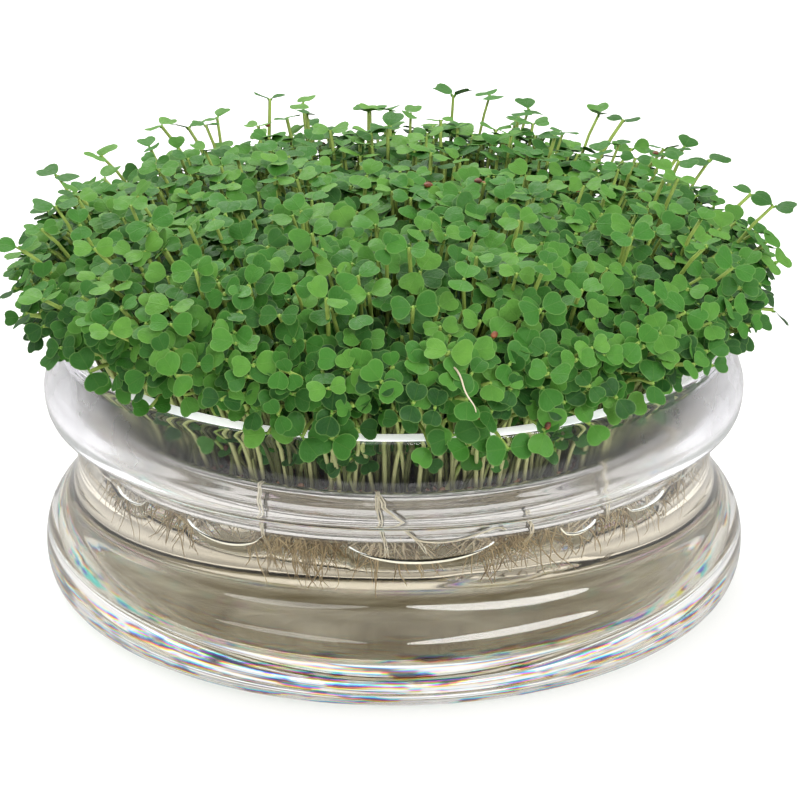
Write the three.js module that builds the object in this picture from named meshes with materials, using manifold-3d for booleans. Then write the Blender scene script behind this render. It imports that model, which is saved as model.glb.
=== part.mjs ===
// Microgreens tray: a waisted clear glass dish with water in its foot, a steel sieve seated at its waist,
// a felt of roots on the sieve that hangs through it into the water, and a dense cushion of seedlings.
// Millimetres, +Z up. The origin is the centre of the dish's flat underside.
import * as THREE from "three";
import { mergeVertices } from "three/addons/utils/BufferGeometryUtils.js";
import Module from "manifold-3d";

const wasm = await Module();
wasm.setup();

// Driving dimensions of the glass dish. Each height is where the outer wall has that radius.
const FOOT_RADIUS = 64;
const BELLY_RADIUS = 70;
const BELLY_HEIGHT = 7.4;
const WAIST_RADIUS = 63;
const WAIST_HEIGHT = 27.3;
const BULGE_RADIUS = 69;
const BULGE_HEIGHT = 40.3;
const RIM_RADIUS = 65.8;
const RIM_HEIGHT = 49.3;
const RIM_THICKNESS = 3.8;
const RIM_CROWN = 1.9;
const LIP_ROUND = 0.9;
const WALL = 4.4;
const FOOT_WALL = 7;
const FLOOR = 6;
const FLOOR_CORNER = 6;
const DISH_SIDES = 36;
const CURVE_STEPS = 4;

// How far each curve of the wall runs on, away from a named place, before it turns towards the next one.
const OUTSIDE = { footOut: 3.6, bellyDown: 5.6, bellyUp: 10.5, waistDown: 12.6, waistUp: 13, bulgeDown: 9.6 };
const INSIDE = { bulgeDown: 9, waistUp: 11, waistDown: 7, bellyUp: 7, bellyDown: 5, floorOut: 4 };
const CLOSING = { bulgeUp: 1.8, rimOut: 1.1, rimDown: 2.7 };

// Pieces that stand against each other keep this gap.
const GAP = 0.3;

// Water, and the sieve whose ring stops at the narrowing waist.
const WATER_LEVEL = 29.2;
const RING_FOOT = 29.6;
const RING_HEIGHT = 8.4;
const RING_WALL = 0.9;
const RING_BEAD = 1.1;
const RING_LEDGE = 3;
const RING_LEDGE_THICKNESS = 0.8;
const RING_SIDES = 36;
const PLATE_THICKNESS = 0.8;
const PLATE_SIDES = 30;

// Root tufts: each hangs through a hole of the sieve plate into the water. Rows run outwards.
const TUFT_ROWS = [
  { count: 4, radius: 30 },
  { count: 14, radius: 52 },
];
const TUFT_RADIUS = 1.5;
const TUFT_FORK_RADIUS = 1.2;
const TUFT_FORK_DEPTH = 1;
const TUFT_SINK = 1;
const TUFT_SPREAD = 2.6;
const TUFT_LENGTHS = [6.5, 9, 5.5, 8, 7];
const ROOTLETS = 2;
const ROOTLET_STAGGER = 1.4;
const ROOTLET_TIP_RADIUS = 0.2;
const ROOT_SIDES = 3;
const ROOTLET_RADIUS = 0.7;
const HOLE_SIDES = 4;
const PLATE_HOLE_RADIUS = 2.2;
const WATER_HOLE_RADIUS = 4.4;
const HOLE_SPARE = 1;
const FELT_THICKNESS = 3.2;
const FELT_EDGE_DROP = 0.8;
const FELT_EDGE_WIDTH = 2;

// Seedlings: bases on a sunflower spiral over the felt, tips on a wider, domed one. Some outgrow the rest.
const SEEDLINGS = 126;
const BED_RADIUS = 55;
const CANOPY_RADIUS = 72.5;
const CROWN_HEIGHT = 77.5;
const CROWN_FALL = 14;
const CROWN_POWER = 4;
const LAYERS = 5;
const LAYER_DROP = 2.6;
const LAYER_DROP_AT_EDGE = 2.8;
const TALL_EVERY = 8;
const TALL_TURN = 3;
const TALL_LAYER = -1.4;
const HEIGHT_SWAY = 2;
const LEAN_SWAY = 34;
const STEM_RADIUS = 0.75;
const STEM_RADIUS_AT_ROOT = 0.9;
const STEM_SIDES = 3;
const STEM_STEPS = 2;
const STEM_SINK = 1;
const HEAD_SINK = 0.3;
const BEND_REACH = 0.3;
const BEND_RISE = 0.75;
const ARCH_HEIGHT = 60;
const TILT_AT_CENTRE = 10;
const TILT_AT_EDGE = 54;
const TILT_SWAY = 11;

// One pair of seed leaves: two notched lobes that meet at a narrow neck over the stem.
const LEAF_THICKNESS = 0.7;
const LEAF_REACH = 7.2;
const LEAF_WIDTH = 8;
const LEAF_SHOULDER = 3;
const LEAF_TIP_REACH = 6.5;
const LEAF_TIP_WIDTH = 6.2;
const NECK_WIDTH = 2.2;
const NOTCH_DEPTH = 1.1;
const LEAF_LIFT = 14;

// A seedling that comes too near an earlier one turns its leaves, and sinks a little after a few turns.
const CLEARANCE = 0.35;
const SEARCH_REACH = 1;
const TURNS_TO_TRY = 14;
const TURN_STEP = 47;
const TURNS_BEFORE_SINKING = 4;
const SINK_STEP = 0.9;

// Bunches: rings of cells over the bed, each with a thin felt of stem feet that its seedlings stand in.
const CELL_EDGES = [0, 14, 28, 42, 57];
const CELL_COUNTS = [1, 6, 12, 18];
const CELL_THICKNESS = 1.4;
const CELL_ARC = 40;
const FOOT_MARGIN = 1.6;

const GOLDEN_ANGLE = Math.PI * (3 - Math.sqrt(5));
const DEGREE = Math.PI / 180;
const SAME_POINT = 1e-4;
const FINE_STEPS = 40;

const GLASS = { color: 0xeef4f2, roughness: 0.03, metalness: 0, transparent: true, opacity: 0.25 };
const WATER = { color: 0xb8aa88, roughness: 0.02, metalness: 0, transparent: true, opacity: 0.5 };
const STEEL = { color: 0xc9c7c4, roughness: 0.22, metalness: 1 };
const ROOT = { color: 0x9b8763, roughness: 0.8, metalness: 0 };
const SPROUT = { color: 0x4f8a35, roughness: 0.5, metalness: 0 };

// A repeatable draw from 0 to 1 for a seedling's number and a channel.
function draw(number, channel) {
  const wave = Math.sin(number * 12.9898 + channel * 78.233) * 43758.5453;
  return wave - Math.floor(wave);
}

// A closed three.js geometry as a solid, with its faces pointing out.
function solidOf(geometry) {
  const bare = new THREE.BufferGeometry();
  bare.setAttribute("position", geometry.getAttribute("position"));
  bare.setIndex(geometry.index);
  const merged = mergeVertices(bare, SAME_POINT);
  const triangles = [];
  for (let i = 0; i < merged.index.count; i += 3) {
    const [a, b, c] = [0, 1, 2].map((k) => merged.index.getX(i + k));
    if (a !== b && b !== c && c !== a) triangles.push(a, b, c);
  }
  const build = (corners) =>
    new wasm.Manifold(
      new wasm.Mesh({
        numProp: 3,
        vertProperties: new Float32Array(merged.attributes.position.array),
        triVerts: new Uint32Array(corners),
      }),
    );
  const made = build(triangles);
  return made.volume() > 0 ? made : build(triangles.reverse());
}

// A solid as a named mesh of the scene graph.
function meshOf(name, solid, finish) {
  const data = solid.getMesh();
  const geometry = new THREE.BufferGeometry();
  geometry.setAttribute("position", new THREE.BufferAttribute(new Float32Array(data.vertProperties), 3));
  geometry.setIndex(new THREE.BufferAttribute(new Uint32Array(data.triVerts), 1));
  geometry.computeVertexNormals();
  const mesh = new THREE.Mesh(geometry, new THREE.MeshStandardMaterial(finish));
  mesh.name = name;
  return mesh;
}

// A profile of (radius, height) points turned about the vertical axis.
function turned(points, sides) {
  return solidOf(new THREE.LatheGeometry(points, sides).rotateX(Math.PI / 2));
}

// One curve of a wall, from the pen's place at a height, running on up or down at both of its ends.
function drawWall(path, from, to, runOut, runIn) {
  path.bezierCurveTo(from.x, from.y + runOut, to.x, to.y + runIn, to.x, to.y);
}

// The inner wall of the dish from the rim down to the floor, drawn smaller by an inset for what it holds.
function drawInnerWall(path, inset) {
  const rim = new THREE.Vector2(RIM_RADIUS - RIM_THICKNESS - inset, RIM_HEIGHT);
  const bulge = new THREE.Vector2(BULGE_RADIUS - WALL - inset, BULGE_HEIGHT);
  const waist = new THREE.Vector2(WAIST_RADIUS - WALL - inset, WAIST_HEIGHT);
  const belly = new THREE.Vector2(BELLY_RADIUS - FOOT_WALL - inset, FLOOR + FLOOR_CORNER + inset);
  const floor = new THREE.Vector2(belly.x - FLOOR_CORNER, FLOOR + inset);
  path.lineTo(rim.x, rim.y);
  const turnIn = [rim.x + CLOSING.rimOut, rim.y - CLOSING.rimDown];
  path.bezierCurveTo(...turnIn, bulge.x, bulge.y + CLOSING.bulgeUp, bulge.x, bulge.y);
  drawWall(path, bulge, waist, -INSIDE.bulgeDown, INSIDE.waistUp);
  drawWall(path, waist, belly, -INSIDE.waistDown, INSIDE.bellyUp);
  const corner = [belly.x, belly.y - INSIDE.bellyDown, floor.x + INSIDE.floorOut, floor.y];
  path.bezierCurveTo(...corner, floor.x, floor.y);
  path.lineTo(0, floor.y);
}

// The glass dish: thick floor, rounded foot, drawn-in waist, and a bowl that closes a little at its rim.
function glassDish() {
  const belly = new THREE.Vector2(BELLY_RADIUS, BELLY_HEIGHT);
  const waist = new THREE.Vector2(WAIST_RADIUS, WAIST_HEIGHT);
  const bulge = new THREE.Vector2(BULGE_RADIUS, BULGE_HEIGHT);
  const rim = new THREE.Vector2(RIM_RADIUS, RIM_HEIGHT);
  const inner = RIM_RADIUS - RIM_THICKNESS;
  const crest = RIM_HEIGHT + RIM_CROWN;
  const path = new THREE.Path();
  path.moveTo(0, 0);
  path.lineTo(FOOT_RADIUS, 0);
  const roundFoot = [FOOT_RADIUS + OUTSIDE.footOut, 0, belly.x, belly.y - OUTSIDE.bellyDown];
  path.bezierCurveTo(...roundFoot, belly.x, belly.y);
  drawWall(path, belly, waist, OUTSIDE.bellyUp, -OUTSIDE.waistDown);
  drawWall(path, waist, bulge, OUTSIDE.waistUp, -OUTSIDE.bulgeDown);
  const turnIn = [rim.x + CLOSING.rimOut, rim.y - CLOSING.rimDown];
  path.bezierCurveTo(bulge.x, bulge.y + CLOSING.bulgeUp, ...turnIn, rim.x, rim.y);
  path.lineTo(rim.x - LIP_ROUND, crest);
  path.lineTo(inner + LIP_ROUND, crest);
  drawInnerWall(path, 0);
  return turned(path.getPoints(CURVE_STEPS), DISH_SIDES);
}

// Radius of the dish's inner wall at a height, read off its drawn profile.
function innerRadiusAt(height) {
  const path = new THREE.Path();
  path.moveTo(RIM_RADIUS - RIM_THICKNESS, RIM_HEIGHT);
  drawInnerWall(path, 0);
  const points = path.getPoints(FINE_STEPS);
  const low = points.findIndex((point) => point.y < height);
  const [above, below] = [points[low - 1], points[low]];
  return below.x + ((above.x - below.x) * (height - below.y)) / (above.y - below.y);
}

const RING_RADIUS = innerRadiusAt(RING_FOOT) - GAP;
const LEDGE_TOP = RING_FOOT + RING_LEDGE_THICKNESS;
const PLATE_FOOT = LEDGE_TOP + GAP;
const PLATE_RADIUS = RING_RADIUS - RING_WALL - GAP;
const FELT_FOOT = PLATE_FOOT + PLATE_THICKNESS + GAP;
const FELT_TOP = FELT_FOOT + FELT_THICKNESS;
const CELL_FOOT = FELT_TOP + GAP;

// Every root tuft: where it hangs and how far it reaches below the felt.
const TUFTS = TUFT_ROWS.flatMap(({ count, radius }, row) =>
  Array.from({ length: count }, (_, i) => {
    const angle = ((i + 0.5 * row) / count) * 2 * Math.PI;
    const length = TUFT_LENGTHS[(i * 2 + row) % TUFT_LENGTHS.length];
    const tip = WATER_LEVEL - length;
    return { x: radius * Math.cos(angle), y: radius * Math.sin(angle), turn: angle, tip };
  }),
);

// An upright prism or cone with few sides, from a foot height to a top height.
function upright({ x, y, turn = 0 }, foot, top, footRadius, topRadius, sides) {
  const shape = new THREE.CylinderGeometry(topRadius, footRadius, top - foot, sides, 1);
  shape.rotateX(Math.PI / 2).rotateZ(turn).translate(x, y, (foot + top) / 2);
  return solidOf(shape);
}

// A tapered rod with few sides along a curve.
function rod(curve, steps, footRadius, tipRadius, sides) {
  const rings = [];
  const up = new THREE.Vector3(1, 0, 0);
  for (let s = 0; s <= steps; s++) {
    const centre = curve.getPoint(s / steps);
    const along = curve.getTangent(s / steps);
    const across = new THREE.Vector3().crossVectors(along, up).normalize();
    const other = new THREE.Vector3().crossVectors(along, across);
    const radius = footRadius + (tipRadius - footRadius) * (s / steps);
    for (let k = 0; k < sides; k++) {
      const angle = (k / sides) * 2 * Math.PI;
      const point = centre.clone();
      point.addScaledVector(across, radius * Math.cos(angle));
      point.addScaledVector(other, radius * Math.sin(angle));
      rings.push(point.x, point.y, point.z);
    }
  }
  const faces = [];
  for (let s = 0; s < steps; s++) {
    for (let k = 0; k < sides; k++) {
      const [a, b] = [s * sides + k, s * sides + ((k + 1) % sides)];
      faces.push(a, b, b + sides, a, b + sides, a + sides);
    }
  }
  const last = steps * sides;
  for (let k = 1; k < sides - 1; k++) {
    faces.push(0, k + 1, k, last, last + k, last + k + 1);
  }
  const geometry = new THREE.BufferGeometry();
  geometry.setAttribute("position", new THREE.Float32BufferAttribute(rings, 3));
  geometry.setIndex(faces);
  return solidOf(geometry);
}

// The water fills the foot and the waist, with a plain hole for each tuft of roots.
function water() {
  const path = new THREE.Path();
  path.moveTo(RIM_RADIUS - RIM_THICKNESS - GAP, RIM_HEIGHT);
  drawInnerWall(path, GAP);
  const wall = path.getPoints(CURVE_STEPS).filter((point) => point.y < WATER_LEVEL);
  const edge = new THREE.Vector2(innerRadiusAt(WATER_LEVEL) - GAP, WATER_LEVEL);
  const pool = turned([new THREE.Vector2(0, WATER_LEVEL), edge, ...wall], DISH_SIDES);
  const top = WATER_LEVEL + HOLE_SPARE;
  const holes = TUFTS.map((tuft) =>
    upright(tuft, tuft.tip - HOLE_SPARE, top, WATER_HOLE_RADIUS, WATER_HOLE_RADIUS, HOLE_SIDES),
  );
  return pool.subtract(wasm.Manifold.union(holes));
}

// The sieve's ring: a thin upright band with a rolled bead on top and a ledge inside its foot.
function sieveRing() {
  const inner = RING_RADIUS - RING_WALL;
  const top = RING_FOOT + RING_HEIGHT;
  const path = new THREE.Path();
  path.moveTo(inner - RING_LEDGE, RING_FOOT);
  path.lineTo(RING_RADIUS, RING_FOOT);
  path.lineTo(RING_RADIUS, top - 2 * RING_BEAD);
  path.absarc(RING_RADIUS, top - RING_BEAD, RING_BEAD, -Math.PI / 2, Math.PI / 2, false);
  path.lineTo(inner, top);
  path.lineTo(inner, LEDGE_TOP);
  path.lineTo(inner - RING_LEDGE, LEDGE_TOP);
  path.closePath();
  return turned(path.getPoints(2), RING_SIDES);
}

// The sieve's plate lies on the ledge, with a hole for each tuft of roots.
function sievePlate() {
  const disc = new THREE.Shape();
  disc.absarc(0, 0, PLATE_RADIUS, 0, 2 * Math.PI, false);
  const plate = new THREE.ExtrudeGeometry(disc, {
    depth: PLATE_THICKNESS,
    bevelEnabled: false,
    curveSegments: PLATE_SIDES / 2,
  }).translate(0, 0, PLATE_FOOT);
  const holes = TUFTS.map((tuft) =>
    upright(tuft, PLATE_FOOT - HOLE_SPARE, FELT_FOOT, PLATE_HOLE_RADIUS, PLATE_HOLE_RADIUS, HOLE_SIDES),
  );
  return solidOf(plate).subtract(wasm.Manifold.union(holes));
}

// The felt of roots on the sieve, and the tufts that hang from it and part into rootlets in the water.
function rootFelt() {
  const rim = PLATE_RADIUS - GAP;
  const profile = [
    new THREE.Vector2(0, FELT_FOOT),
    new THREE.Vector2(rim, FELT_FOOT),
    new THREE.Vector2(rim, FELT_TOP - FELT_EDGE_DROP),
    new THREE.Vector2(rim - FELT_EDGE_WIDTH, FELT_TOP),
    new THREE.Vector2(0, FELT_TOP),
  ];
  const pieces = [turned(profile, PLATE_SIDES)];
  for (const tuft of TUFTS) {
    const fork = WATER_LEVEL - TUFT_FORK_DEPTH;
    const [low, high] = [fork - TUFT_SINK, FELT_FOOT + TUFT_SINK];
    pieces.push(upright(tuft, low, high, TUFT_FORK_RADIUS, TUFT_RADIUS, ROOT_SIDES));
    for (let k = 0; k < ROOTLETS; k++) {
      const angle = tuft.turn + (k / ROOTLETS) * 2 * Math.PI;
      const foot = new THREE.Vector3(tuft.x, tuft.y, fork);
      const reach = tuft.tip + (k % 2) * ROOTLET_STAGGER;
      const tip = new THREE.Vector3(
        tuft.x + TUFT_SPREAD * Math.cos(angle),
        tuft.y + TUFT_SPREAD * Math.sin(angle),
        reach,
      );
      pieces.push(rod(new THREE.LineCurve3(foot, tip), 1, ROOTLET_RADIUS, ROOTLET_TIP_RADIUS, ROOT_SIDES));
    }
  }
  return wasm.Manifold.union(pieces);
}

// The cell of the bed that a point lies in.
function cellOf({ x, y }) {
  const radius = Math.hypot(x, y);
  const row = CELL_COUNTS.findIndex((_, i) => radius < CELL_EDGES[i + 1]);
  const turn = (Math.atan2(y, x) / (2 * Math.PI) + 1) % 1;
  return { row, column: Math.floor(turn * CELL_COUNTS[row]) };
}

// A foot moved just far enough in from the edges of its cell for the whole stem to stand on it.
function footInCell(angle, radius) {
  const { row, column } = cellOf({ x: radius * Math.cos(angle), y: radius * Math.sin(angle) });
  const lowest = row === 0 ? 0 : CELL_EDGES[row] + FOOT_MARGIN;
  const inside = THREE.MathUtils.clamp(radius, lowest, CELL_EDGES[row + 1] - FOOT_MARGIN);
  const span = (2 * Math.PI) / CELL_COUNTS[row];
  const trim = row === 0 ? 0 : FOOT_MARGIN / inside;
  const within = THREE.MathUtils.euclideanModulo(angle, 2 * Math.PI) - column * span;
  const turn = column * span + THREE.MathUtils.clamp(within, trim, span - trim);
  return new THREE.Vector3(inside * Math.cos(turn), inside * Math.sin(turn), 0);
}

// Where a seedling stands, where its leaves are, and how they lean.
function seedlingPlace(number) {
  const share = Math.sqrt((number + 0.5) / SEEDLINGS);
  const angle = number * GOLDEN_ANGLE;
  const edge = share ** CROWN_POWER;
  const drop = LAYER_DROP + (LAYER_DROP_AT_EDGE - LAYER_DROP) * edge;
  const layer = number % TALL_EVERY === TALL_TURN ? TALL_LAYER : number % LAYERS;
  const height = CROWN_HEIGHT - CROWN_FALL * edge - drop * layer + HEIGHT_SWAY * draw(number, 1);
  const sway = (channel, most) => (2 * draw(number, channel) - 1) * most * DEGREE;
  const lean = angle + sway(2, LEAN_SWAY);
  const tilt = (TILT_AT_CENTRE + (TILT_AT_EDGE - TILT_AT_CENTRE) * edge) * DEGREE + sway(3, TILT_SWAY);
  const normal = new THREE.Vector3(Math.cos(lean), Math.sin(lean), 0).multiplyScalar(Math.sin(tilt));
  normal.z = Math.cos(tilt);
  const reach = CANOPY_RADIUS * share;
  return {
    base: footInCell(angle, BED_RADIUS * share),
    tip: new THREE.Vector3(reach * Math.cos(angle), reach * Math.sin(angle), height),
    normal,
    spin: draw(number, 4) * Math.PI,
  };
}

// Outline of one lobe, from the near side of the neck round the notched tip to the far side.
function lobeOutline() {
  return [
    [0, -NECK_WIDTH / 2],
    [LEAF_SHOULDER, -LEAF_WIDTH / 2],
    [LEAF_TIP_REACH, -LEAF_TIP_WIDTH / 2],
    [LEAF_REACH - NOTCH_DEPTH, 0],
    [LEAF_TIP_REACH, LEAF_TIP_WIDTH / 2],
    [LEAF_SHOULDER, LEAF_WIDTH / 2],
    [0, NECK_WIDTH / 2],
  ];
}

// A pair of seed leaves as one thin plate, folded upwards along the neck.
function leafPair(tip, normal, spin) {
  const along = new THREE.Vector3(-normal.y, normal.x, 0).normalize().applyAxisAngle(normal, spin);
  const across = new THREE.Vector3().crossVectors(normal, along);
  const lift = Math.tan(LEAF_LIFT * DEGREE);
  const corner = ([reach, side], facing) =>
    tip.clone()
      .addScaledVector(along, facing * reach)
      .addScaledVector(across, side)
      .addScaledVector(normal, lift * reach);
  const outline = lobeOutline();
  const near = outline.map((point) => corner(point, 1));
  const far = outline.slice(1, -1).reverse().map((point) => corner(point, -1));
  const upper = [...near, ...far];
  const lower = upper.map((point) => point.clone().addScaledVector(normal, -LEAF_THICKNESS));
  const count = upper.length;
  const neck = near.length - 1;
  const nearLobe = near.map((_, i) => i);
  const farLobe = [neck, ...far.map((_, i) => neck + 1 + i), 0];
  const notch = Math.floor(neck / 2);
  const faces = [];
  for (const lobe of [nearLobe, farLobe]) {
    for (let i = 0; i < lobe.length; i++) {
      const [a, b, c] = [lobe[notch], lobe[i], lobe[(i + 1) % lobe.length]];
      if (i === notch || (i + 1) % lobe.length === notch) continue;
      faces.push(a, b, c, a + count, c + count, b + count);
    }
  }
  for (let i = 0; i < count; i++) {
    const next = (i + 1) % count;
    faces.push(i, i + count, next + count, i, next + count, next);
  }
  const geometry = new THREE.BufferGeometry();
  const points = [...upper, ...lower].flatMap((point) => point.toArray());
  geometry.setAttribute("position", new THREE.Float32BufferAttribute(points, 3));
  geometry.setIndex(faces);
  return solidOf(geometry);
}

// The stem rises straight out of the felt and bends to meet the leaves along their normal.
function stem(base, tip, normal) {
  const foot = base.clone().setZ(CELL_FOOT + CELL_THICKNESS - STEM_SINK);
  const head = tip.clone().addScaledVector(normal, -HEAD_SINK);
  const rise = Math.max(foot.z + (head.z - foot.z) * BEND_RISE, ARCH_HEIGHT);
  const bend = new THREE.Vector3().lerpVectors(base, tip, BEND_REACH).setZ(rise);
  const curve = new THREE.QuadraticBezierCurve3(foot, bend, head);
  return rod(curve, STEM_STEPS, STEM_RADIUS_AT_ROOT, STEM_RADIUS, STEM_SIDES);
}

// True where a solid keeps its clearance from every solid in a list.
function isClear(solid, others) {
  const box = solid.boundingBox();
  return others.every(({ solid: other, box: wide }) => {
    const gaps = [0, 1, 2].map((k) => Math.max(box.min[k] - wide.max[k], wide.min[k] - box.max[k]));
    return Math.max(...gaps) > SEARCH_REACH || solid.minGap(other, SEARCH_REACH) >= CLEARANCE;
  });
}

// Seedlings in turn: each turns its leaves, then sinks a little, until it is clear of those before it.
function growSeedlings(obstacles) {
  const grown = [];
  for (let number = 0; number < SEEDLINGS; number++) {
    const { base, tip, normal, spin } = seedlingPlace(number);
    for (let turn = 0; turn < TURNS_TO_TRY; turn++) {
      const head = tip.clone();
      head.z -= SINK_STEP * Math.floor(turn / TURNS_BEFORE_SINKING);
      const leaves = leafPair(head, normal, spin + turn * TURN_STEP * DEGREE);
      const solid = leaves.add(stem(base, head, normal));
      if (!isClear(solid, obstacles) || !isClear(solid, grown)) continue;
      grown.push({ solid, box: solid.boundingBox(), base });
      break;
    }
  }
  return grown;
}

// One cell of the bed as a thin plate, a little smaller than its share.
function bedCell(row, column) {
  const [inner, outer] = [CELL_EDGES[row], CELL_EDGES[row + 1] - GAP];
  const span = (2 * Math.PI) / CELL_COUNTS[row];
  const shape = new THREE.Shape();
  if (row === 0) {
    shape.absarc(0, 0, outer, 0, 2 * Math.PI, false);
  } else {
    const trim = GAP / inner;
    const [from, to] = [column * span + trim, (column + 1) * span - trim];
    shape.absarc(0, 0, outer, from, to, false);
    shape.absarc(0, 0, inner, to, from, true);
  }
  const steps = Math.max(1, Math.round(span / (CELL_ARC * DEGREE)));
  const options = { depth: CELL_THICKNESS, bevelEnabled: false, curveSegments: steps };
  const plate = new THREE.ExtrudeGeometry(shape, options);
  return solidOf(plate.translate(0, 0, CELL_FOOT));
}

const tray = new THREE.Group();
const dish = glassDish();
const ring = sieveRing();
tray.add(meshOf("glass_dish", dish, GLASS));
tray.add(meshOf("water", water(), WATER));
tray.add(meshOf("sieve_ring", ring, STEEL));
tray.add(meshOf("sieve_plate", sievePlate(), STEEL));
tray.add(meshOf("root_felt", rootFelt(), ROOT));

const obstacles = [dish, ring].map((solid) => ({ solid, box: solid.boundingBox() }));
const seedlings = growSeedlings(obstacles);
for (let row = 0; row < CELL_COUNTS.length; row++) {
  for (let column = 0; column < CELL_COUNTS[row]; column++) {
    const members = seedlings.filter(({ base }) => {
      const cell = cellOf(base);
      return cell.row === row && cell.column === column;
    });
    const bunch = wasm.Manifold.union([bedCell(row, column), ...members.map(({ solid }) => solid)]);
    tray.add(meshOf(`sprouts_${row}_${String(column + 1).padStart(2, "0")}`, bunch, SPROUT));
  }
}

export default tray;
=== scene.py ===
# %% [markdown]
# # A microgreens tray in glass
# The object is a waisted glass dish with water in its foot, a steel sieve at its waist, a felt of roots
# and a cushion of seedlings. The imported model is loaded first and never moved. Everything that is added
# below is worked out in millimetres, in the same frame, and turned into metres when a mesh is made.

# %% Load the frame and keep its box
import math

import bpy
import numpy as np
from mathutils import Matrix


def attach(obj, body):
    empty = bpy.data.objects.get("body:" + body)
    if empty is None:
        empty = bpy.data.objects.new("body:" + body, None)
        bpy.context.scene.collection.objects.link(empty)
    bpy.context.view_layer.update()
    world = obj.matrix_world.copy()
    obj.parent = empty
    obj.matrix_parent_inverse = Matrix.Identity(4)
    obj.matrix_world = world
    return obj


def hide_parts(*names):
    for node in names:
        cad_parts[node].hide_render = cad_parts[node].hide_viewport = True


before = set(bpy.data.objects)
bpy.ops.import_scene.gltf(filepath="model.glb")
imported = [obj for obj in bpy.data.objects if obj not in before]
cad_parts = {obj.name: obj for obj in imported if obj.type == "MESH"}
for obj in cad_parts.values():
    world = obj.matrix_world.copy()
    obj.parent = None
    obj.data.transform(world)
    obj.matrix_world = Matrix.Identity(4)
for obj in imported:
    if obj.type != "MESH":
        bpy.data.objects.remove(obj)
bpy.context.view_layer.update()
MM = 0.001
nodes = sorted(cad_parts)

# %% [markdown]
# ## Camera
# The photo looks down at the dish from the front with a long lens. The camera's place was worked out
# from the ellipses of the rim and the foot, so the same ellipses come out in the render. A long lens
# far away keeps them calm, where a wide lens close by would swell the front of the dish.

# %% Camera at the photo's angle
CAMERA_AT = (1.2, -469.8, 214.2)
CAMERA_DIP = 21.02
LENS, SENSOR_WIDTH = 113.4, 36

camera_data = bpy.data.cameras.new("camera")
camera_data.lens = LENS
camera_data.sensor_width = SENSOR_WIDTH
camera = bpy.data.objects.new("camera", camera_data)
camera.location = [value * MM for value in CAMERA_AT]
camera.rotation_euler = (math.radians(90 - CAMERA_DIP), 0, 0)
bpy.context.scene.collection.objects.link(camera)
bpy.context.scene.camera = camera
print("camera at", tuple(camera.location))

# %% [markdown]
# ## Meshes from arrays
# Every new piece is a set of numpy arrays: points, and faces as rows of point numbers. One helper puts
# them into a mesh with foreach_set, which is far quicker than adding points one by one. It also lets the
# piece ride on the frame's root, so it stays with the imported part.

# %% Arrays into a mesh


def make_piece(name, points, faces, material, uv=None, values=None, sharp=None):
    """Put points (n, 3) in mm and faces (arrays of 3 or 4 point numbers a row) into a smooth mesh object.
    Edges whose two ends are both marked in sharp keep a crease."""
    mesh = bpy.data.meshes.new(name)
    corners = np.concatenate([block.ravel() for block in faces]).astype(np.int32)
    widths = np.concatenate([np.full(len(block), block.shape[1]) for block in faces])
    starts = np.concatenate([[0], np.cumsum(widths)[:-1]]).astype(np.int32)
    mesh.vertices.add(len(points))
    mesh.vertices.foreach_set("co", (points * MM).astype(np.float32).ravel())
    mesh.loops.add(len(corners))
    mesh.loops.foreach_set("vertex_index", corners)
    mesh.polygons.add(len(widths))
    mesh.polygons.foreach_set("loop_start", starts)
    mesh.update(calc_edges=True)
    mesh.polygons.foreach_set("use_smooth", np.ones(len(widths), bool))
    if uv is not None:
        layer = mesh.uv_layers.new(name="surface")
        layer.data.foreach_set("uv", uv[corners].astype(np.float32).ravel())
    for key, value in (values or {}).items():
        attribute = mesh.attributes.new(key, "FLOAT", "POINT")
        attribute.data.foreach_set("value", value.astype(np.float32))
    if sharp is not None:
        ends = np.empty(2 * len(mesh.edges), np.int32)
        mesh.edges.foreach_get("vertices", ends)
        creases = mesh.attributes.new("sharp_edge", "BOOLEAN", "EDGE")
        creases.data.foreach_set("value", sharp[ends].reshape(-1, 2).all(axis=1))
    mesh.materials.append(material)
    piece = bpy.data.objects.new(name, mesh)
    bpy.context.scene.collection.objects.link(piece)
    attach(piece, "root")
    print(name, len(points), "points", len(widths), "faces")
    return piece


# %% [markdown]
# Two shapes repeat on this object: a profile turned about the dish's axis, and slim tubes along many
# paths. Both are grids of points that close round one way, with a fan of triangles at each end. The Screw
# and Skin modifiers could make them too. Arrays give exact places, to which other pieces can be fitted.

# %% Curves, turned profiles and tubes


def unit(vectors):
    """The same directions with length 1."""
    return vectors / np.linalg.norm(vectors, axis=-1, keepdims=True)


def full_turn(steps):
    """Equal steps of angle round a whole turn, without the last, which is the first again."""
    return np.linspace(0, 2 * np.pi, steps, endpoint=False)


def around_axis(radius, angle, height):
    """Points about the upright axis: x = r cos a, y = r sin a, z = height."""
    return np.stack(np.broadcast_arrays(radius * np.cos(angle), radius * np.sin(angle), height), axis=-1)


def bezier(start, run_out, run_in, end, steps=14):
    """Cubic curve without its first point: the four given points, weighted by (1-t)^3, 3t(1-t)^2,
    3t^2(1-t) and t^3."""
    t = np.linspace(0, 1, steps + 1)[1:, None]
    corners = np.array([start, run_out, run_in, end], float)
    weights = np.hstack([(1 - t) ** 3, 3 * t * (1 - t) ** 2, 3 * t**2 * (1 - t), t**3])
    return weights @ corners


def grid_faces(rows, columns, close_rows=False):
    """Quads between neighbours of a grid of points numbered row by row, whose columns close round."""
    row = np.arange(rows if close_rows else rows - 1)
    r, c = (number.ravel() for number in np.meshgrid(row, np.arange(columns), indexing="ij"))
    r_next, c_next = (r + 1) % rows, (c + 1) % columns
    corners = [r * columns + c, r * columns + c_next, r_next * columns + c_next, r_next * columns + c]
    return np.stack(corners, axis=1)


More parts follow.
